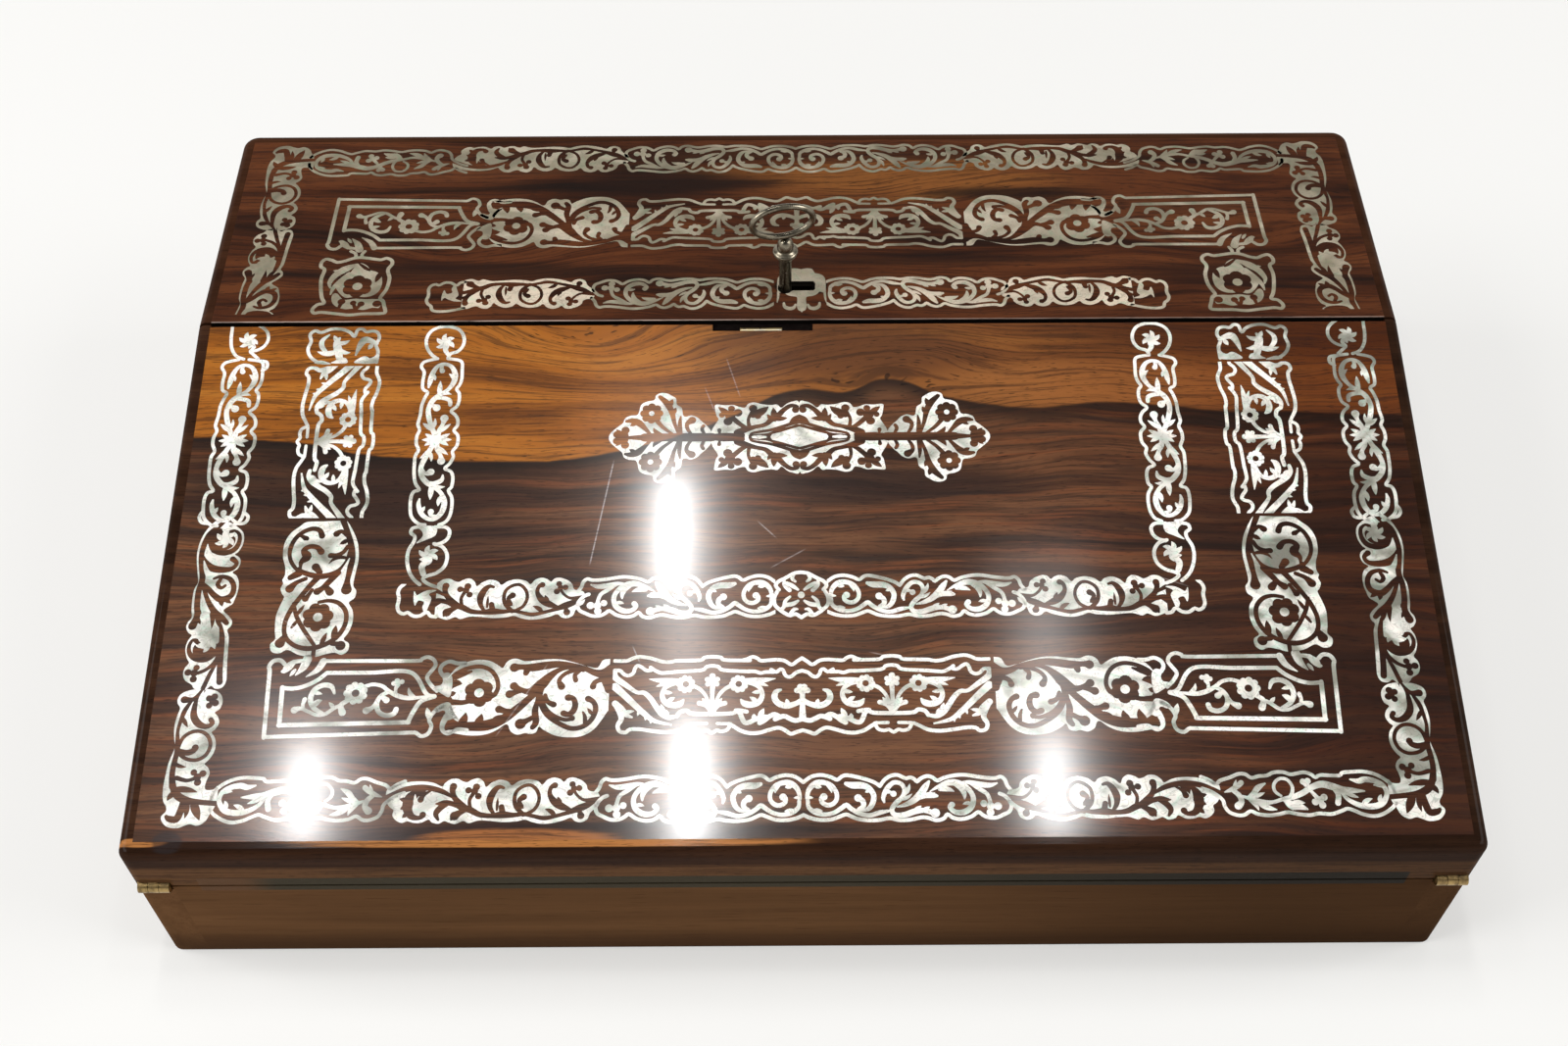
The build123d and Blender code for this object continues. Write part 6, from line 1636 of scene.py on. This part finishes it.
def bevelled_block(name, place_at, size, bevel, look, body, turn=0.0):
    """A small block with softened edges. Its size runs across, up the slope and through it."""
    bpy.ops.mesh.primitive_cube_add(size=1.0)
    piece = bpy.context.object
    piece.name = name
    work = bmesh.new()
    work.from_mesh(piece.data)
    for v in work.verts:
        v.co = Vector([c * length * MM for c, length in zip(v.co, size)])
    bmesh.ops.bevel(work, geom=work.edges[:], offset=bevel * MM, segments=3, profile=0.5, affect="EDGES")
    bmesh.ops.rotate(work, verts=work.verts, matrix=Matrix.Rotation(turn, 3, "X"))
    bmesh.ops.translate(work, verts=work.verts, vec=place_at)
    finished(piece, work, look, body)


rear_edge = on_flap(0, FLAP_END - 0.42, -0.93)
notch_floor = on_flap((NOTCH_LEFT + NOTCH_RIGHT) / 2, FLAP_END - 1.7, -1.02)
strike_lip = on_flap(-12.4, FLAP_END - 2.85, -0.35)
# Worn brass, paled past the colour of old brass as a painted glint on the strike's lip
wear_and_highlight_brass = metal("wear_and_highlight_brass", (0.98, 0.92, 0.72), (0.85, 0.76, 0.52), 0.6)
edge_size, floor_size = (2 * SIDE, SHADE_STRIP, 0.12), (NOTCH_RIGHT - NOTCH_LEFT - 0.1, 3.2, 0.3)
# The two black pieces are painted shade in the seam and in the floor of the notch
for name, place_at, size, bevel, look, slot in (
    ("stained_rear_edge_of_the_flap", rear_edge, edge_size, 0.02, black_shade(), "dark_edging"),
    ("stained_floor_of_the_notch", notch_floor, floor_size, 0.05, black_shade(), "dark_edging"),
    ("worn_lip_of_the_strike", strike_lip, (13.8, 0.6, 0.8), 0.25, wear_and_highlight_brass, "brass"),
):
    bevelled_block(name, place_at, size, bevel, look, "flap", SLOPE)


def turned(name, profile, x, y, look, body, steps=48):
    """A piece turned round an upright axis from its outline, given as radius and height in millimetres."""
    bpy.ops.mesh.primitive_circle_add(vertices=steps, radius=profile[0][0] * MM, location=(0, 0, 0))
    piece = bpy.context.object
    piece.name = name
    work = bmesh.new()
    work.from_mesh(piece.data)
    bmesh.ops.translate(work, verts=work.verts, vec=(0, 0, profile[0][1] * MM))
    ring = work.edges[:]
    bmesh.ops.contextual_create(work, geom=ring)
    for (r0, _), (r1, z1) in zip(profile, profile[1:]):
        grown = bmesh.ops.extrude_edge_only(work, edges=ring)["geom"]
        ring = [g for g in grown if isinstance(g, bmesh.types.BMEdge)]
        for v in {v for e in ring for v in e.verts}:
            v.co.x *= r1 / r0
            v.co.y *= r1 / r0
            v.co.z = z1 * MM
    bmesh.ops.contextual_create(work, geom=ring)
    bmesh.ops.recalc_face_normals(work, faces=work.faces)
    bmesh.ops.translate(work, verts=work.verts, vec=Vector((x, y, 0)) * MM)
    for face in work.faces:
        face.smooth = len(face.verts) == 4
    return finished(piece, work, look, body)


steel = looks["dark_steel"]
PIPE_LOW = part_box("key")[0][2] / MM
# The pipe is hollow for its pin. Above it are the collar and the neck.
PIPE = [(1.1, PIPE_LOW + 10), (1.1, PIPE_LOW), (2.1, PIPE_LOW), (2.1, 112.8)]
COLLAR = [(2.7, 113.4), (3.0, 114.2), (3.5, 115.0), (4.0, 115.6), (4.2, 116.2), (4.15, 116.6), (3.7, 117.0)]
NECK = [(2.75, 117.2), (2.6, 117.6), (2.75, 118.4), (2.7, 119.4), (2.45, 120.5), (1.9, 121.5), (1.0, 122.1)]
outline = PIPE + COLLAR + NECK
stem = turned("stem_and_collar_of_the_key", outline, KEY_X, KEY_Y, steel, "key")
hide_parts("key")
# Each block of the bit: from and to, out from the stem and up from the pipe's foot
BIT_BLOCKS = ((1.6, 8.8, 0, 2.6), (1.6, 5.6, 2.5, 4.6), (7.0, 8.8, 2.5, 4.6))
for number, (near, far, low, high) in enumerate(BIT_BLOCKS, 1):
    middle = Vector((KEY_X + (near + far) / 2, KEY_Y, PIPE_LOW + (low + high) / 2)) * MM
    size = (far - near, 2.8, high - low)
    bevelled_block(f"bit_of_the_key_{number}", middle, size, 0.15, steel, "key")

# The bow is a round ring stretched to an oval, turned a little and set off the stem's middle
BOW_LONG, BOW_HIGH, BOW_MEAN, BOW_WIRE = 10.1, 6.4, 8.2, 1.1
BOW_PLACE = Vector((KEY_X - 0.9, KEY_Y, 129.6)) * MM
BOW_TURN = Matrix.Rotation(math.radians(12.0), 3, "Z")
ring_sizes = {"major_radius": BOW_MEAN * MM, "minor_radius": BOW_WIRE * MM}
bpy.ops.mesh.primitive_torus_add(location=(0, 0, 0), major_segments=72, minor_segments=14, **ring_sizes)
bow = bpy.context.object
bow.name = "bow_of_the_key"
for v in bow.data.vertices:
    round_at = math.atan2(v.co.y, v.co.x)
    x = v.co.x + (BOW_LONG - BOW_MEAN) * MM * math.cos(round_at)
    z = v.co.y + (BOW_HIGH - BOW_MEAN) * MM * math.sin(round_at)
    v.co = BOW_TURN @ Vector((x, -v.co.z, z)) + BOW_PLACE
bow.data.shade_smooth()
bow.data.materials.append(steel.material)
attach(bow, "key")


# Camera, floor and lamps


def add_camera():
    """The camera where the photograph was taken from."""
    level = math.cos(CAMERA_PITCH)
    ahead = Vector((math.sin(CAMERA_YAW) * level, math.cos(CAMERA_YAW) * level, -math.sin(CAMERA_PITCH)))
    right = ahead.cross(Vector((0, 0, 1))).normalized()
    up = right.cross(ahead)
    c, s = math.cos(CAMERA_ROLL), math.sin(CAMERA_ROLL)
    turn = Matrix((right * c + up * s, up * c - right * s, -ahead)).transposed().to_4x4()
    data = bpy.data.cameras.new("camera")
    data.lens = CAMERA_LENS
    data.sensor_width = 36.0
    scene.camera = bpy.data.objects.new("camera", data)
    scene.collection.objects.link(scene.camera)
    scene.camera.matrix_world = Matrix.Translation(CAMERA_PLACE) @ turn


def add_floor():
    """The plain pale floor that the box stands on. Seen straight or in a mirror it is paler still."""
    bpy.ops.mesh.primitive_plane_add(size=8.0, location=(0, 0, 0))
    floor = bpy.context.object
    floor.name = "floor"
    values = {"Base Color": (0.86, 0.86, 0.84), "Roughness": 0.9, "Specular IOR Level": 0.1}
    look = Look("pale_floor", values)
    rays = add("LightPath", tree=look.tree).socket.node.outputs
    kinds = ("Camera", "Glossy", "Transmission")
    straight, mirrored, through = (Value(rays[f"Is {kind} Ray"]) for kind in kinds)
    seen = straight.math("MAXIMUM", mirrored.math("MAXIMUM", through))
    beside = look.x.math("ABSOLUTE") - HALF_WIDTH
    off = beside.math("MAXIMUM", look.y.math("ABSOLUTE") + FRONT_Y)
    away = add("VectorMath", {0: look.where}, "Value", operation="LENGTH")
    glow = off.spread(0.0, GLOW_REACH, *FLOOR_GLOW).math("MAXIMUM", away.spread(*FLOOR_FADES))
    pale = add("Emission", {"Color": PALE, "Strength": SURROUND}, tree=look.tree)
    both = add("MixShader", {0: seen * glow, 1: Value(look.surface.outputs["BSDF"]), 2: pale})
    feed(look.end, {"Surface": both})
    floor.data.materials.append(look.material)


def add_world(low, high):
    """A pale surround near the horizon, and a dim one overhead, where the polish would mirror it."""
    world = bpy.data.worlds.new("surround")
    world.use_nodes = True
    height = split(add("TexCoord", (), "Generated", world.node_tree))[2]
    strength = height.spread(0.25, 0.6, low, high)
    feed(world.node_tree.nodes["Background"], {"Strength": strength, "Color": PALE})
    scene.world = world


def add_lamp(name, width, height, power, place_at, turn, colour=(1, 1, 1)):
    """A rectangular lamp."""
    data = bpy.data.lights.new(name, "AREA")
    data.shape = "RECTANGLE"
    data.size, data.size_y = width, height
    data.energy = power
    data.color = colour
    lamp = bpy.data.objects.new(name, data)
    scene.collection.objects.link(lamp)
    lamp.matrix_world = Matrix.Translation(place_at) @ turn.to_4x4()


def add_softbox(name, x, power):
    """A broad soft lamp beside the box, turned to its middle."""
    place_at = Vector((x, -0.2, 1.3))
    turn = (Vector((0, 0, 0.05)) - place_at).to_track_quat("-Z", "Y").to_matrix()
    add_lamp(name, 1.2, 1.0, power, place_at, turn)


def add_tube(name, x, low, high, half_width, reach, radiance, *colour):
    """A long lamp whose mirror image on the flap lies at x, from low to high up the slope."""
    origin = on_flap(0, 0)
    normal = (on_flap(0, 0, 1000) - origin).normalized()
    image = CAMERA_PLACE - normal * (2 * (CAMERA_PLACE - origin).dot(normal))
    centre = (low + high) / 2
    corners = []
    for px, along in ((x, low), (x, high), (x - half_width, centre), (x + half_width, centre)):
        spot = on_flap(px, along)
        corners.append(spot + (spot - image).normalized() * reach)
    first, last, left, right = corners
    middle = (first + last) / 2
    long_way = (last - first).normalized()
    facing = (on_flap(x, centre) - middle).normalized()
    wide_way = long_way.cross(facing).normalized()
    turn = Matrix((wide_way, long_way, -facing)).transposed()
    width, height = (right - left).length, (last - first).length
    add_lamp(name, width, height, radiance * math.pi * width * height, middle, turn, *colour)


# Each lamp that the flap mirrors: where its image lies across, from and to up the slope, and half its
# width, then how far off the lamp is, in metres, its radiance and, where it isn't white, its colour
TUBES = (
    ("lamp_left", -147, 4, 34, 4.5, 1.6, 75.0),
    ("lamp_middle_low", -33.5, 3, 40, 4.3, 1.6, 90.0),
    ("lamp_middle", -36, 40, 84, 4.5, 1.6, 12.0),
    ("lamp_middle_high", -40, 84, 123, 4.2, 1.6, 90.0),
    ("lamp_right", 74, 6, 35, 4.5, 1.6, 68.0),
    ("lamp_right_high", 74, 33, 80, 6, 1.6, 8.0),
    ("glow_left", -147, -2, 52, 16, 1.7, 4.0),
    ("glow_left_wide", -150, -4, 60, 34, 1.8, 1.2, (0.9, 0.9, 1.0)),
    ("glow_middle_low", -34, -2, 70, 13, 1.7, 5.5),
    ("glow_middle_high", -39, 70, 142, 13, 1.7, 5.5),
    ("glow_middle_wide", -38, -4, 176, 30, 1.8, 0.8, (1.0, 0.84, 0.72)),
    ("glow_right", 74, 2, 96, 15, 1.7, 2.8),
)

add_camera()
add_floor()
add_world(SURROUND, OVERHEAD)
add_softbox("key_softbox", -1.5, 30.0)
add_softbox("fill_softbox", 1.55, 23.0)
for tube in TUBES:
    add_tube(*tube)
